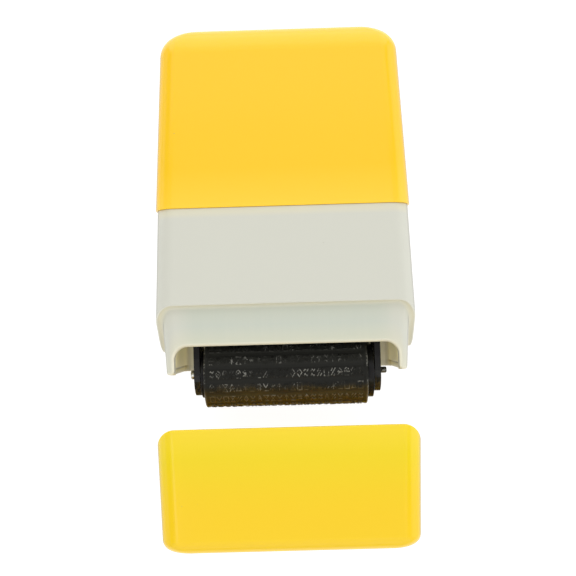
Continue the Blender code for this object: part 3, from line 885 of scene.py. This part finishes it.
def arch_path(sizes, half):
    """The edge of the opening from the foot of a leg to the middle.

    A point is ((x, level), way off the edge, x of the outer face above it, x of the inner face above it).
    """
    corner = sizes.arch_corner
    high = sizes.arch_height - corner
    middle = half - corner
    reach = corner + ARCH_EDGE
    path = []

    def add(at, away, share, first, second):
        outer, inner = (a + (b - a) * share for a, b in zip(first, second))
        path.append((at, away, middle + reach + outer, half + inner))

    for share in stepped(0, 1, 4):
        away = (math.sin(share * QUARTER), math.cos(share * QUARTER))
        add((half + ARCH_FOOT * (1 - away[0]), ARCH_FOOT * (1 - away[1])), away, share, *STAND_OFFS[:2])
    for share in stepped(0, 1, 5):
        add((half, ARCH_FOOT + (high - ARCH_FOOT) * share), (1, 0), share, *STAND_OFFS[1:])
    outer, inner = STAND_OFFS[2]
    for share in stepped(0, 1, 10):
        away = (math.cos(share * QUARTER), math.sin(share * QUARTER))
        at = (middle + corner * away[0], high + corner * away[1])
        path.append((at, away, middle + (reach + outer) * away[0], middle + (corner + inner) * away[0]))
    for share in stepped(0, 1, 12) + [1]:
        x = middle * (1 - share)
        path.append(((x, sizes.arch_height), (0, 1), x, x))
    return path


class HousingShell:
    """The rings of the ivory housing. Its front quarters run up round the opening, its back quarters do not.

    An entry of its loop is (mark outside, mark inside, share of the way to the opening, point of the edge of
    the opening).
    """

    def __init__(self, sizes):
        self.sizes = sizes
        self.outside = (sizes.half_width, sizes.half_depth, sizes.corner)
        collar = shrink(self.outside, sizes.inset)
        self.mouth = (collar[0] - sizes.collar_taper, collar[1], collar[2])
        self.core = (self.mouth[0] - sizes.collar_wall, collar[1] - sizes.collar_wall, CORE_CORNER)
        self.half = self.core[0] - ARCH_LIP
        path = arch_path(sizes, self.half)
        foot_mark = plan_mark(self.mouth, path[0][0][0])
        core_foot = plan_mark(self.core, self.half)

        front = [(mark, mark, 0, None) for mark in stepped(0, 1, 10)]
        for share in stepped(0, 1, 9):
            front.append((1 + (foot_mark - 1) * share, 1 + (core_foot - 1) * share, share, None))
        for at, away, above, inside in path:
            front.append((plan_mark(self.mouth, above), plan_mark(self.core, inside), 1, (at, away)))
        self.loop = mirrored(front, [(mark, mark, 0, None) for mark in PLAIN_MARKS])
        self.marks, self.core_marks = (
            [(entry[k], sign_x, sign_z) for entry, sign_x, sign_z in self.loop] for k in (0, 1)
        )
        self.dips = step_dips(sizes, self.marks)
        self.rings = []
        self.values = []

    def put(self, points, edge=0.0, warm=0.0, rub=0.0, inner=0.0, shade=0.0):
        """Adds a ring with its wear, tints and painted light. Painted shade on the collar shows least near
        the sides.
        """
        painted_light_mask = [rub * clamped((self.half - abs(point.x)) / COLLAR_SHADE_FADE, 0.15) for point in points]
        self.rings.append(points)
        self.values.append({"edge": edge, "warm": warm, "rub": painted_light_mask, "inner": inner, "shade": shade})

    def outer(self, inset, level):
        """A loop on the outside, inset from the widest plan, that follows the step."""
        return ring(shrink(self.outside, inset), level, self.dips, self.marks)

    def level_ring(self, spot, level):
        """A level loop of any plan."""
        return ring(spot, level, None, self.marks)

    def collar(self, level):
        """The plan of the outside of the collar at a level."""
        half_x, half_z, radius = self.mouth
        return half_x + self.sizes.collar_taper * level / self.sizes.step_level, half_z, radius

    def outer_edge(self, turn):
        """The loop round the mouth and the opening, at this turn of its rounded outer edge."""
        points = []
        for (mark, _, share, arched), sign_x, sign_z in self.loop:
            radius = MOUTH_EDGE + (ARCH_EDGE - MOUTH_EDGE) * share
            along, into = radius * (1 - math.sin(turn)), radius * (1 - math.cos(turn))
            if arched:
                (x, level), (away_x, away_level) = arched
                x, level = x + away_x * along, level + away_level * along
                z = plan_depth(self.collar(level), x) - into
            else:
                x, z = plan_point(self.collar(along), mark)
                level = along
                around = QUARTER * (share or clamped(mark - 1))
                x, z = x - math.cos(around) * into, z - math.sin(around) * into
            points.append(Vector((sign_x * x, level, sign_z * z)))
        return points

    def inner_edge(self, along, into, rebate, wall_along=None):
        """The same on the inner edge, whose side walls may stand back by the rebate."""
        points = []
        for (_, mark, share, arched), sign_x, sign_z in self.loop:
            if arched:
                (x, level), (away_x, away_level) = arched
                x = min(x + away_x * along, self.half)
                level += away_level * along
                z = plan_depth(self.core, x) + into
            else:
                x, z = plan_point(self.core, mark)
                if mark <= 1:
                    x += rebate
                level = along if wall_along is None else wall_along
                around = QUARTER * (share or clamped(mark - 1))
                x, z = x + math.cos(around) * into, z + math.sin(around) * into
            points.append(Vector((sign_x * x, level, sign_z * z)))
        return points

    def core_ring(self, level, low=None, share=1.0):
        """A loop on the inner wall at a level, or a share of the way up to it from a lower loop."""
        points = []
        for k, (mark, sign_x, sign_z) in enumerate(self.core_marks):
            at = level if low is None else low[k].y + (level - low[k].y) * share
            half_x = self.core[0] + (NECK_TOP_HALF - NECK_WALL - self.core[0]) * at / NECK_TOP
            x, z = plan_point((half_x, self.core[1], self.core[2]), mark)
            points.append(Vector((sign_x * x, at, sign_z * z)))
        return points

    def warmth(self, side, back):
        """How much painted tint each point of an inner loop takes, for warm light and for shade: its side
        walls most, its back wall least.
        """
        return [
            side + (back - side) * clamped((mark - 0.8) / 0.8) * (0.6 if sign_z > 0 else 1)
            for mark, _, sign_z in self.core_marks
        ]


def housing_mesh(sizes):
    """The whole ivory shell, with every edge rounded."""
    shell = HousingShell(sizes)
    put = shell.put

    # These rings take paler edges, as wear and painted highlight, painted warm light and painted shade on the
    # collar
    for k in range(EDGE_STEPS, -1, -1):
        share = k / EDGE_STEPS
        put(shell.outer_edge(QUARTER * share), math.sin(2 * QUARTER * share), 0.15 + 0.25 * share, 1 - share)
    middle = shell.level_ring(shell.collar(sizes.step_level / 2), 0)
    for point, low, high in zip(middle, shell.rings[-1], shell.outer(sizes.inset, sizes.step_level - COVE)):
        point.y = (low.y + high.y) / 2
    put(middle, rub=1.0)
    for rise, reach in edge_steps(COVE):
        share = rise / COVE
        put(shell.outer(sizes.inset - reach, sizes.step_level - rise), 0.0, 0.30 - 0.25 * share, share)
    for fall, reach in edge_steps(STEP_EDGE):
        share = 1 - fall / STEP_EDGE
        put(shell.outer(fall, sizes.step_level + reach), math.sin(2 * QUARTER * share), 0.20 * (1 - share))

    parting = (sizes.half_width - sizes.taper, sizes.half_depth, sizes.corner)
    wall_low = shell.rings[-1]
    wall_high = shell.level_ring(parting, sizes.parting_level - PARTING_EDGE)
    for share, warm in OUTER_WALL:
        put(between(wall_low, wall_high, share), 0.0, warm)
    for fall, inset in edge_steps(PARTING_EDGE, 3):
        points = shell.level_ring(shrink(parting, inset), sizes.parting_level - fall)
        put(points, 0.0, 0.22 + 0.3 * inset / PARTING_EDGE)
    neck_corner = sizes.corner - HALF_DEEP + NECK_HALF_DEPTH
    put(shell.level_ring((NECK_FOOT_HALF, NECK_HALF_DEPTH, neck_corner), sizes.parting_level))
    for fall, inset in edge_steps(SMALL_EDGE, 3):
        top = shrink((NECK_TOP_HALF, NECK_HALF_DEPTH, neck_corner), inset)
        put(shell.level_ring(top, NECK_TOP - fall), 0.5)

    rim = shell.core_ring(NECK_TOP)
    put(between(rim, shell.rings[-1], 0.15))
    put([point - Vector((0, SMALL_EDGE, 0)) for point in rim])
    for level, warm, inner in INNER_WALL:
        put(shell.core_ring(level), 0.0, shell.warmth(warm * inner, 0.0), 0.0, inner)
    above = shell.inner_edge(SMALL_EDGE + 0.00012, 0, 0, REBATE_HEIGHT + 0.0001)
    put(shell.core_ring(INNER_WALL[-1][0], above, 0.4), 0.0, shell.warmth(0.9, 0.1), 0.0, 1.0)
    put(above, 0.0, shell.warmth(0.7, 0.1), 0.0, 1.0)
    for off, share, shade in REBATE_RINGS:
        rebate = shell.inner_edge(SMALL_EDGE + off, 0, REBATE_DEPTH, REBATE_HEIGHT * share)
        put(rebate, 0.0, shell.warmth(1.3, 0.1), 0.0, 0.6, shell.warmth(shade, 0.0))
    for along, into in edge_steps(SMALL_EDGE, 3):
        put(shell.inner_edge(along, into, REBATE_DEPTH), 0.4, shell.warmth(0.5, 0.1), 0.0, 0.8)
    return skin(shell.rings, True, shell.values)


def housing_ledge(side):
    """One of the two ledges that the frame's bridge bears up against."""
    outer = NECK_FOOT_HALF - NECK_WALL
    spot = ((outer - LEDGE_HALF) / 2, LEDGE_LENGTH / 2, LEDGE_CORNER)
    mesh = block(spot, LEDGE_LOW, LEDGE_LOW + LEDGE_THICKNESS, LEDGE_EDGE)
    bmesh.ops.translate(mesh, vec=(side * (outer + LEDGE_HALF) / 2, 0, 0), verts=mesh.verts)
    return mesh


# Yellow mouldings


def closed_end(spot, end, rounds, direction):
    """Rings from a side wall over a rounded edge to the flat of a closed end.

    rounds are the radii of that edge along X and Z.
    """
    rings = []
    for k in range(ROUND_STEPS + 1):
        turn = QUARTER * k / ROUND_STEPS
        in_x, in_z = (radius * (1 - math.cos(turn)) for radius in rounds)
        level = end - direction * rounds[0] * (1 - math.sin(turn))
        rings.append(ring((spot[0] - in_x, spot[1] - in_z, spot[2]), level))
    return rings


def moulding(rim, rim_level, end_half, end, rounds, wall, lips, dips=None):
    """A yellow moulding: one shell with a rounded end, open at its rim.

    rim is the plan of the rim, and end_half the half width where the end begins to round. lips gives the
    outer and the inner edge of the rim as (radius, steps, how much paler it is, as wear and painted
    highlight).
    """
    direction = 1 if end > rim_level else -1
    outside = closed_end((end_half, *rim[1:]), end, rounds, direction)
    core = (end_half - wall, rim[1] - wall, rim[2] - wall)
    inside = closed_end(core, end - direction * wall, [radius - wall for radius in rounds], direction)

    # The middle of the rounded end is paler: a painted highlight
    rows = [(points, math.sin(2 * QUARTER * k / ROUND_STEPS) * 0.5) for k, points in enumerate(outside)][::-1]
    (outer, outer_steps, outer_wear_and_highlight), (inner, inner_steps, inner_wear_and_highlight) = lips
    foot = ring(rim, rim_level + direction * outer, dips)
    rows += [(between(foot, outside[0], share), 0.0) for share in (0.75, 0.5, 0.25)]
    for rise, inset in edge_steps(outer, outer_steps):
        rows.append((ring(shrink(rim, inset), rim_level + direction * rise, dips), outer_wear_and_highlight))
    bore = shrink(rim, wall)
    for rise, inset in edge_steps(inner, inner_steps)[::-1]:
        rows.append((ring(shrink(bore, -inset), rim_level + direction * rise, dips), inner_wear_and_highlight))
    rows += [(between(rows[-1][0], inside[0], share), 0.0) for share in (0.33, 0.66)]
    rows += [(points, 0.0) for points in inside]
    return skin([points for points, _ in rows], False, [{"edge": wear_and_highlight} for _, wear_and_highlight in rows])


def cover_mesh(sizes, housing):
    """The upper cover, whose rim reaches down to the parting line."""
    rim = (sizes.cover_half, sizes.half_depth, housing.corner)
    height = COVER_TOP - COVER_RIM
    shoulder = sizes.cover_half - sizes.cover_taper * (height - sizes.cover_round) / height
    rounds = (sizes.cover_round, sizes.cover_round_deep)
    # The rim's outer edge is fully paler: wear, and a painted highlight over the shade of the narrow gap
    # above the housing
    lips = ((COVER_EDGE, 4, 1.0), (COVER_EDGE, 3, 0.3))
    return moulding(rim, COVER_RIM - COVER_DROP, shoulder, COVER_TOP, rounds, sizes.cover_wall, lips)


def cap_mesh(sizes, housing):
    """The cap, whose rim follows the step of the housing."""
    rim = (sizes.cap_half, sizes.half_depth, housing.corner)
    end_half = sizes.cap_half - sizes.cap_taper
    rounds = (sizes.cap_round, sizes.cap_round)
    lips = ((CAP_EDGE, EDGE_STEPS, 0.7), (CAP_LEAD_IN, EDGE_STEPS, 0.4))
    dips = step_dips(housing)
    return moulding(rim, -sizes.cap_distance, end_half, CAP_END, rounds, sizes.cap_wall, lips, dips)


# Rollers


def arc_line(centre, radii, steps):
    """Points of the upper half of an ellipse."""
    turns = [2 * QUARTER * k / steps for k in range(steps + 1)]
    return [(centre[0] + radii[0] * math.cos(turn), centre[1] + radii[1] * math.sin(turn)) for turn in turns]


# Marks of no alphabet: lines in a cell from -0.5 to 0.5 both ways. A line whose ends meet is closed.
DOT = [(-0.08, 0), (0.08, 0)]
BAR = [(-0.5, -0.5), (0.5, -0.5)]
UPRIGHT = [(0, -0.5), (0, 0.5)]
MARKS = [
    [[(0, -0.5), (0.5, 0), (0, 0.5), (-0.5, 0), (0, -0.5)], DOT],
    [[(-0.5, -0.3), (0.5, 0.3)], [(-0.5, 0.3), (0.5, -0.3)], UPRIGHT],
    [[(-0.5, y), (-0.2, y + 0.3), (0.2, y), (0.5, y + 0.3)] for y in (0.15, -0.45)],
    [[(-0.5, -0.1), (0, 0.5), (0.5, -0.1)], [(-0.5, -0.5), (0, 0.1), (0.5, -0.5)]],
    [[(-0.5, 0.5), (0, -0.1), (0.5, 0.5)], BAR],
    [[(x, -0.5), (x, 0.5)] for x in (-0.2, 0.2)] + [[(-0.5, y), (0.5, y)] for y in (0.2, -0.2)],
    [[(-0.45, 0.05), (0, 0.5), (0.45, 0.05)], UPRIGHT],
    [[(-0.5, 0.5), (0.5, 0.5), (-0.5, -0.5), (0.5, -0.5), (-0.5, 0.5)]],
    [arc_line((0, -0.1), (0.5, 0.6), 8), arc_line((0, -0.1), (0.2, 0.25), 6), BAR],
    [[(-0.5, -0.5), (0.5, 0.5)], [(-0.5, 0.1), (-0.1, 0.5)], [(0.1, -0.5), (0.5, -0.1)]],
    [[(-0.5, -0.5), (0.5, -0.5), (0.5, 0.5), (-0.5, 0.5), (-0.5, -0.5)], DOT],
    [[(-0.5, -0.4), (0.5, -0.4), (0, 0.5), (-0.5, -0.4)]],
    [[(0.2 * s, 0.5), (0.5 * s, 0.15), (0.5 * s, -0.15), (0.2 * s, -0.5)] for s in (-1, 1)] + [DOT],
]


def stroke(mesh, line, width, place, low, high):
    """A raised bar with sloped flanks and softened top edges along a flat line of (x, y) points."""
    points = [Vector(point) for point in line]
    closed = (points[0] - points[-1]).length < width / 10
    if closed:
        points.pop()
    half, soft, spread = width / 2, width * MARK_SOFT, width * MARK_FLANK
    section = [(-half - spread, low), (-half, high - soft), (soft - half, high), (half - soft, high)]
    section += [(half, high - soft), (half + spread, low)]
    # How much of each point takes the painted highlight of the faces
    faces = [0.0, 0.4, 1.0, 1.0, 0.4, 0.0]
    rings = []
    for k, point in enumerate(points):
        before = point - points[k - 1] if closed or k else points[1] - point
        after = points[(k + 1) % len(points)] - point if closed or k < len(points) - 1 else before
        along = (before.normalized() + after.normalized()).normalized()
        across = Vector((-along.y, along.x)) / max(along.dot(before.normalized()), 0.6)
        rings.append([place(*(point + across * off), height) for off, height in section])
    skin(rings, closed, [{"face": faces}] * len(rings), mesh)


def marks_mesh(sizes):
    """All the marks, bent round the roller."""
    mesh = bmesh.new()
    pick = random.Random(sizes.pattern)
    pitch = (RUBBER_RIGHT - RUBBER_LEFT - 2 * sizes.margin) / sizes.marks
    foot = sizes.radius - sizes.relief - MARK_SINK
    for row in range(sizes.rows):
        middle = QUARTER - sizes.first_row + 4 * QUARTER * row / sizes.rows
        for column in range(sizes.marks):
            centre = RUBBER_LEFT + sizes.margin + pitch * (column + 0.5)

            def place(x, y, height):
                turn = middle - y / sizes.radius
                return Vector((centre + x, height * math.cos(turn), height * math.sin(turn)))

            wide = sizes.mark_width * pick.uniform(0.86, 1.0) - sizes.stroke
            tall = sizes.mark_height - sizes.stroke
            for line in pick.choice(MARKS):
                stroke(mesh, [(x * wide, y * tall) for x, y in line], sizes.stroke, place, foot, sizes.radius)
    return mesh


def sleeve_mesh(sizes):
    """The rubber under the marks: a tube with soft ends, a raised band at each and a rib under each row."""
    root = sizes.radius - sizes.relief
    inner = sizes.radius - sizes.thickness
    band = sizes.margin * BAND_SHARE
    lift = sizes.relief * BAND_RISE
    left, right = RUBBER_LEFT, RUBBER_RIGHT
    corners = [(left, inner), (left, root + lift), (left + band, root + lift), (left + band * 1.5, root)]
    corners += [(right - band * 1.5, root), (right - band, root + lift), (right, root + lift), (right, inner)]
    step = 4 * QUARTER / sizes.rows
    steps = sizes.rows * ROW_STEPS
    rings = []
    values = []
    for at, radius in soften(corners, RUBBER_EDGE):
        from_end = min(at - left, right - at)
        inside = clamped((from_end - band) / (band * 0.5)) if radius > inner + lift else 0
        # The edges of the end bands take the painted highlight of the faces
        values.append({"face": 0.8 if radius > root + lift * 0.2 and from_end < band * 0.7 else 0.0})
        points = circle(radius, at, steps)
        for k, point in enumerate(points):
            off = (4 * QUARTER * k / steps - QUARTER + sizes.first_row + step / 2) % step - step / 2
            flank = clamped((sizes.rib_width / 2 - abs(off) * sizes.radius) / RIB_FLANK)
            point += outwards(point) * (sizes.rib * flank * inside)
        rings.append(points)
    return skin(rings, True, values)


def hub_mesh(pin_radius, side, end, radius, thickness):
    """A hub: a spigot in the drum, and a flange on the end of the rubber, with a lip round its rim."""
    back = end - side * HUB_DEPTH
    foot = end + side * RUNNING_GAP
    face = foot + side * thickness
    lip = face + side * HUB_LIP
    bore = pin_radius + RUNNING_GAP
    deep, outside, inside = HUB_RECESS
    recess = face - side * thickness * deep
    corners = [(back, bore), (back, SPIGOT), (foot, SPIGOT), (foot, radius), (lip, radius)]
    corners += [(lip, radius - HUB_LIP_WIDTH), (face, radius - HUB_LIP_WIDTH), (face, radius * outside)]
    corners += [(recess, radius * inside), (recess, bore)]
    return skin([circle(around, at) for at, around in soften(corners, MOULDED_EDGE)], True)


def foam_mesh(outside, half, bore):
    """A tube of foam with a lumpy skin and soft ends."""
    profile = soften([(-half, bore), (-half, outside), (half, outside), (half, bore)], FOAM_EDGE)
    dense = []
    for k, point in enumerate(profile):
        after = profile[(k + 1) % len(profile)]
        steps = max(1, round((after - point).length / FOAM_PITCH))
        dense += [point.lerp(after, step / steps) for step in range(steps)]
    rings = [circle(radius, at, FOAM_STEPS) for at, radius in dense]
    for point in (point for points in rings for point in points):
        if math.hypot(point.y, point.z) > bore + FOAM_BARE:
            lump = 0.9 - noise.fractal(point * FOAM_LUMPS, 0.7, 2.0, 3)
            point -= outwards(point) * clamped(lump, 0, 1.6) * FOAM_LUMP_DEPTH
    return skin(rings, True)


# Operators


class STAMP_OT_studio(bpy.types.Operator):
    """Sets up the pale floor, the soft light and the camera"""

    bl_idname = "stamp.studio"
    bl_label = "Studio"

    # Name, place, width, height and brightness of the face of each lamp. All face the stamp.
    LAMPS = (
        ("lamp_over", (0.0, -0.065, 0.90), 0.42, 0.67, 0.47),
        ("lamp_back", (0.0, 0.436, 0.79), 1.20, 0.38, 0.72),
        ("lamp_far", (0.0, 0.80, 0.36), 1.60, 0.80, 1.00),
        ("lamp_near", (0.0, -0.66, 0.62), 1.60, 0.90, 0.66),
        ("lamp_left", (-0.82, 0.0, 0.24), 1.10, 0.30, 0.55),
        ("lamp_right", (0.84, 0.0, 0.32), 1.20, 0.60, 0.78),
        ("lamp_cap_left", (-0.317, -0.219, 0.815), 0.25, 0.18, 1.60),
        ("lamp_cap_right", (0.317, -0.219, 0.815), 0.25, 0.18, 0.75),
    )

    def execute(self, context):
        sizes = context.scene.stamp_studio
        mesh = bmesh.new()
        bmesh.ops.create_grid(mesh, x_segments=16, y_segments=16, size=sizes.floor_half)
        floor = placed("studio_floor", mesh_data("studio_floor", mesh), (0, 0, -FLOOR_GAP))
        floor.data.materials.append(finish_of(context, studio_floor))
        floor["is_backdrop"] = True

        for name, place, width, height, glow in self.LAMPS:
            lamp = bpy.data.lights.new(name, "AREA")
            lamp.shape = "RECTANGLE"
            lamp.size, lamp.size_y = width, height
            lamp.energy = glow * sizes.brightness * math.pi * width * height
            obj = placed(name, lamp, place)
            obj.rotation_euler = Vector(place).to_track_quat("Z", "Y").to_euler()
            obj.visible_camera = False

        world = bpy.data.worlds.new("studio_sky")
        world.use_nodes = True
        sky = world.node_tree.nodes["Background"]
        sky.inputs["Color"].default_value = (1, 1, 1, 1)
        sky.inputs["Strength"].default_value = sizes.sky
        context.scene.world = world
        context.scene.view_settings.view_transform = "Standard"
        context.scene.view_settings.look = "None"

        camera = bpy.data.cameras.new("camera")
        camera.lens = sizes.lens
        camera.sensor_width = 36
        camera.clip_start = 0.01
        context.scene.camera = placed("camera", camera, sizes.camera_place)
        context.scene.camera.rotation_euler = sizes.camera_turn
        return {"FINISHED"}


class STAMP_OT_housing(bpy.types.Operator):
    """Builds the ivory housing and its ledges"""

    bl_idname = "stamp.housing"
    bl_label = "Housing"

    def execute(self, context):
        look = finish_of(context, ivory_plastic)
        mesh = housing_mesh(context.scene.stamp_housing)
        piece("housing_shell", mesh, look, "root", ["main_housing"], "ivory_plastic")
        for word, side in SIDES:
            piece(f"housing_ledge_{word}", housing_ledge(side), look, "root", slot="ivory_plastic")
        return {"FINISHED"}


class STAMP_OT_cover(bpy.types.Operator):
    """Builds the yellow upper cover"""

    bl_idname = "stamp.cover"
    bl_label = "Upper cover"

    def execute(self, context):
        mesh = cover_mesh(context.scene.stamp_moulding, context.scene.stamp_housing)
        look = finish_of(context, cover_plastic)
        piece("cover_shell", mesh, look, "cover_body", ["upper_cover"], "yellow_plastic")
        return {"FINISHED"}


class STAMP_OT_cap(bpy.types.Operator):
    """Builds the yellow cap"""

    bl_idname = "stamp.cap"
    bl_label = "Cap"

    def execute(self, context):
        mesh = cap_mesh(context.scene.stamp_moulding, context.scene.stamp_housing)
        look = finish_of(context, cap_plastic)
        piece("cap_shell", mesh, look, "cap_body", ["cap"], "yellow_plastic")
        return {"FINISHED"}


class STAMP_OT_print_roller(bpy.types.Operator):
    """Builds the rubber with its marks and the two hubs, and finishes the drum"""

    bl_idname = "stamp.print_roller"
    bl_label = "Print roller"

    def execute(self, context):
        sizes = context.scene.stamp_roller
        body = "print_roller"
        rubber = finish_of(context, inked_rubber)
        piece("rubber_body", sleeve_mesh(sizes), rubber, body, ["rubber_sleeve"], "inked_rubber", PRINT_HOME)
        piece("rubber_marks", marks_mesh(sizes), rubber, body, (), "inked_rubber", PRINT_HOME)
        black = finish_of(context, black_plastic)
        for (word, side), end in zip(SIDES, (RUBBER_LEFT, RUBBER_RIGHT)):
            low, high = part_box(f"hub_{word}")
            flange = (high.x - end if side > 0 else end - low.x) - RUNNING_GAP
            mesh = hub_mesh(sizes.pin_radius, side, end, (high.y - low.y) / 2, flange)
            piece(f"hub_ring_{word}", mesh, black, body, [f"hub_{word}"], "black_plastic", PRINT_HOME)
        dress("print_drum", finish_of(context, drum_plastic), DRUM_EDGE)
        return {"FINISHED"}


class STAMP_OT_inking_roller(bpy.types.Operator):
    """Builds the foam of the inking roller, and finishes its core"""

    bl_idname = "stamp.inking_roller"
    bl_label = "Inking roller"

    def execute(self, context):
        bore = (high_of("ink_core").y - low_of("ink_core").y) / 2 + RUNNING_GAP
        mesh = foam_mesh(context.scene.stamp_roller.foam_radius, high_of("ink_foam").x, bore)
        look = finish_of(context, ink_foam)
        foam = piece("foam_roll", mesh, look, "ink_roller", ["ink_foam"], "ink_foam", INK_HOME)
        dress("ink_core", finish_of(context, drum_plastic), DRUM_EDGE)
        return {"FINISHED"}


class STAMP_OT_roller_frame(bpy.types.Operator):
    """Finishes the black roller frame"""

    bl_idname = "stamp.roller_frame"
    bl_label = "Roller frame"

    def execute(self, context):
        dress("roller_frame", finish_of(context, black_plastic), MOULDED_EDGE)
        return {"FINISHED"}


class STAMP_OT_axles(bpy.types.Operator):
    """Builds the two steel pins, and finishes the washers"""

    bl_idname = "stamp.axles"
    bl_label = "Axles"

    def execute(self, context):
        radius = context.scene.stamp_roller.pin_radius
        look = finish_of(context, steel)
        for node, home, thickness in (
            ("print_axle", PRINT_HOME, PRINT_PIN_HEAD),
            ("ink_axle", INK_HOME, INK_PIN_HEAD),
        ):
            low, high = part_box(node)
            head, under = (high.y - low.y) / 2, low.x + thickness
            mesh = rod([(low.x, head), (under, head), (under, radius), (high.x, radius)], PIN_EDGE)
            piece(f"{node}_pin", mesh, look, "root", [node], "steel", home)
        for word, _ in SIDES:
            dress(f"washer_{word}", look, WASHER_EDGE)
        return {"FINISHED"}


class STAMP_OT_ink_tank(bpy.types.Operator):
    """Finishes the ink tank, and builds the sponge and the wick"""

    bl_idname = "stamp.ink_tank"
    bl_label = "Ink tank"

    def execute(self, context):
        dress("ink_tank", finish_of(context, black_plastic), MOULDED_EDGE)
        for node, name, soft, finish, slot in (
            ("ink_sponge", "sponge_pad", 0.0009, ink_foam, "ink_foam"),
            ("ink_felt", "felt_wick", 0.0005, ink_felt, "ink_felt"),
        ):
            low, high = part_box(node)
            spot = (high.x, high.z - MIDDLE, soft * 1.6)
            mesh = block(spot, low.y - MOUTH, high.y - MOUTH, soft, PAD_LUMP_DEPTH)
            pad = piece(name, mesh, finish_of(context, finish), "root", [node], slot)
        return {"FINISHED"}


class STAMP_OT_closure(bpy.types.Operator):
    """Finishes the lid, the gasket and the filler plug"""

    bl_idname = "stamp.closure"
    bl_label = "Closure"

    def execute(self, context):
        dress("tank_lid", finish_of(context, black_plastic), MOULDED_EDGE)
        for node in ("tank_gasket", "filler_plug"):
            dress(node, finish_of(context, seal_rubber), SEAL_EDGE)
        return {"FINISHED"}


OPERATORS = (
    STAMP_OT_studio,
    STAMP_OT_housing,
    STAMP_OT_cover,
    STAMP_OT_cap,
    STAMP_OT_print_roller,
    STAMP_OT_inking_roller,
    STAMP_OT_roller_frame,
    STAMP_OT_axles,
    STAMP_OT_ink_tank,
    STAMP_OT_closure,
)


class STAMP_PT_panel(bpy.types.Panel):
    """Lists what can be built, and the sizes and colours behind it"""

    bl_idname = "STAMP_PT_panel"
    bl_label = "Privacy roller stamp"
    bl_space_type = "VIEW_3D"
    bl_region_type = "UI"
    bl_category = "Stamp"

    def draw(self, context):
        for operator in OPERATORS:
            self.layout.operator(operator.bl_idname)
        for name, group in GROUPS.items():
            box = self.layout.box()
            box.label(text=group.__doc__)
            for prop in group.__annotations__:
                box.prop(getattr(context.scene, name), prop)


CLASSES = (*GROUPS.values(), *OPERATORS, STAMP_PT_panel)


def register():
    for cls in CLASSES:
        bpy.utils.register_class(cls)
    for name, group in GROUPS.items():
        setattr(bpy.types.Scene, name, PointerProperty(type=group))


def unregister():
    for name in GROUPS:
        delattr(bpy.types.Scene, name)
    for cls in reversed(CLASSES):
        bpy.utils.unregister_class(cls)


def main():
    register()
    bpy.ops.stamp.studio()
    bpy.ops.stamp.housing()
    bpy.ops.stamp.cover()
    bpy.ops.stamp.cap()
    bpy.ops.stamp.print_roller()
    bpy.ops.stamp.inking_roller()
    bpy.ops.stamp.roller_frame()
    bpy.ops.stamp.axles()
    bpy.ops.stamp.ink_tank()
    bpy.ops.stamp.closure()
    bpy.context.view_layer.update()
    boxes = {"cad": CAD_BOX, "visual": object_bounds()}
    {name: [list(corner) for corner in box] for name, box in boxes.items()}


if __name__ == "__main__":
    main()
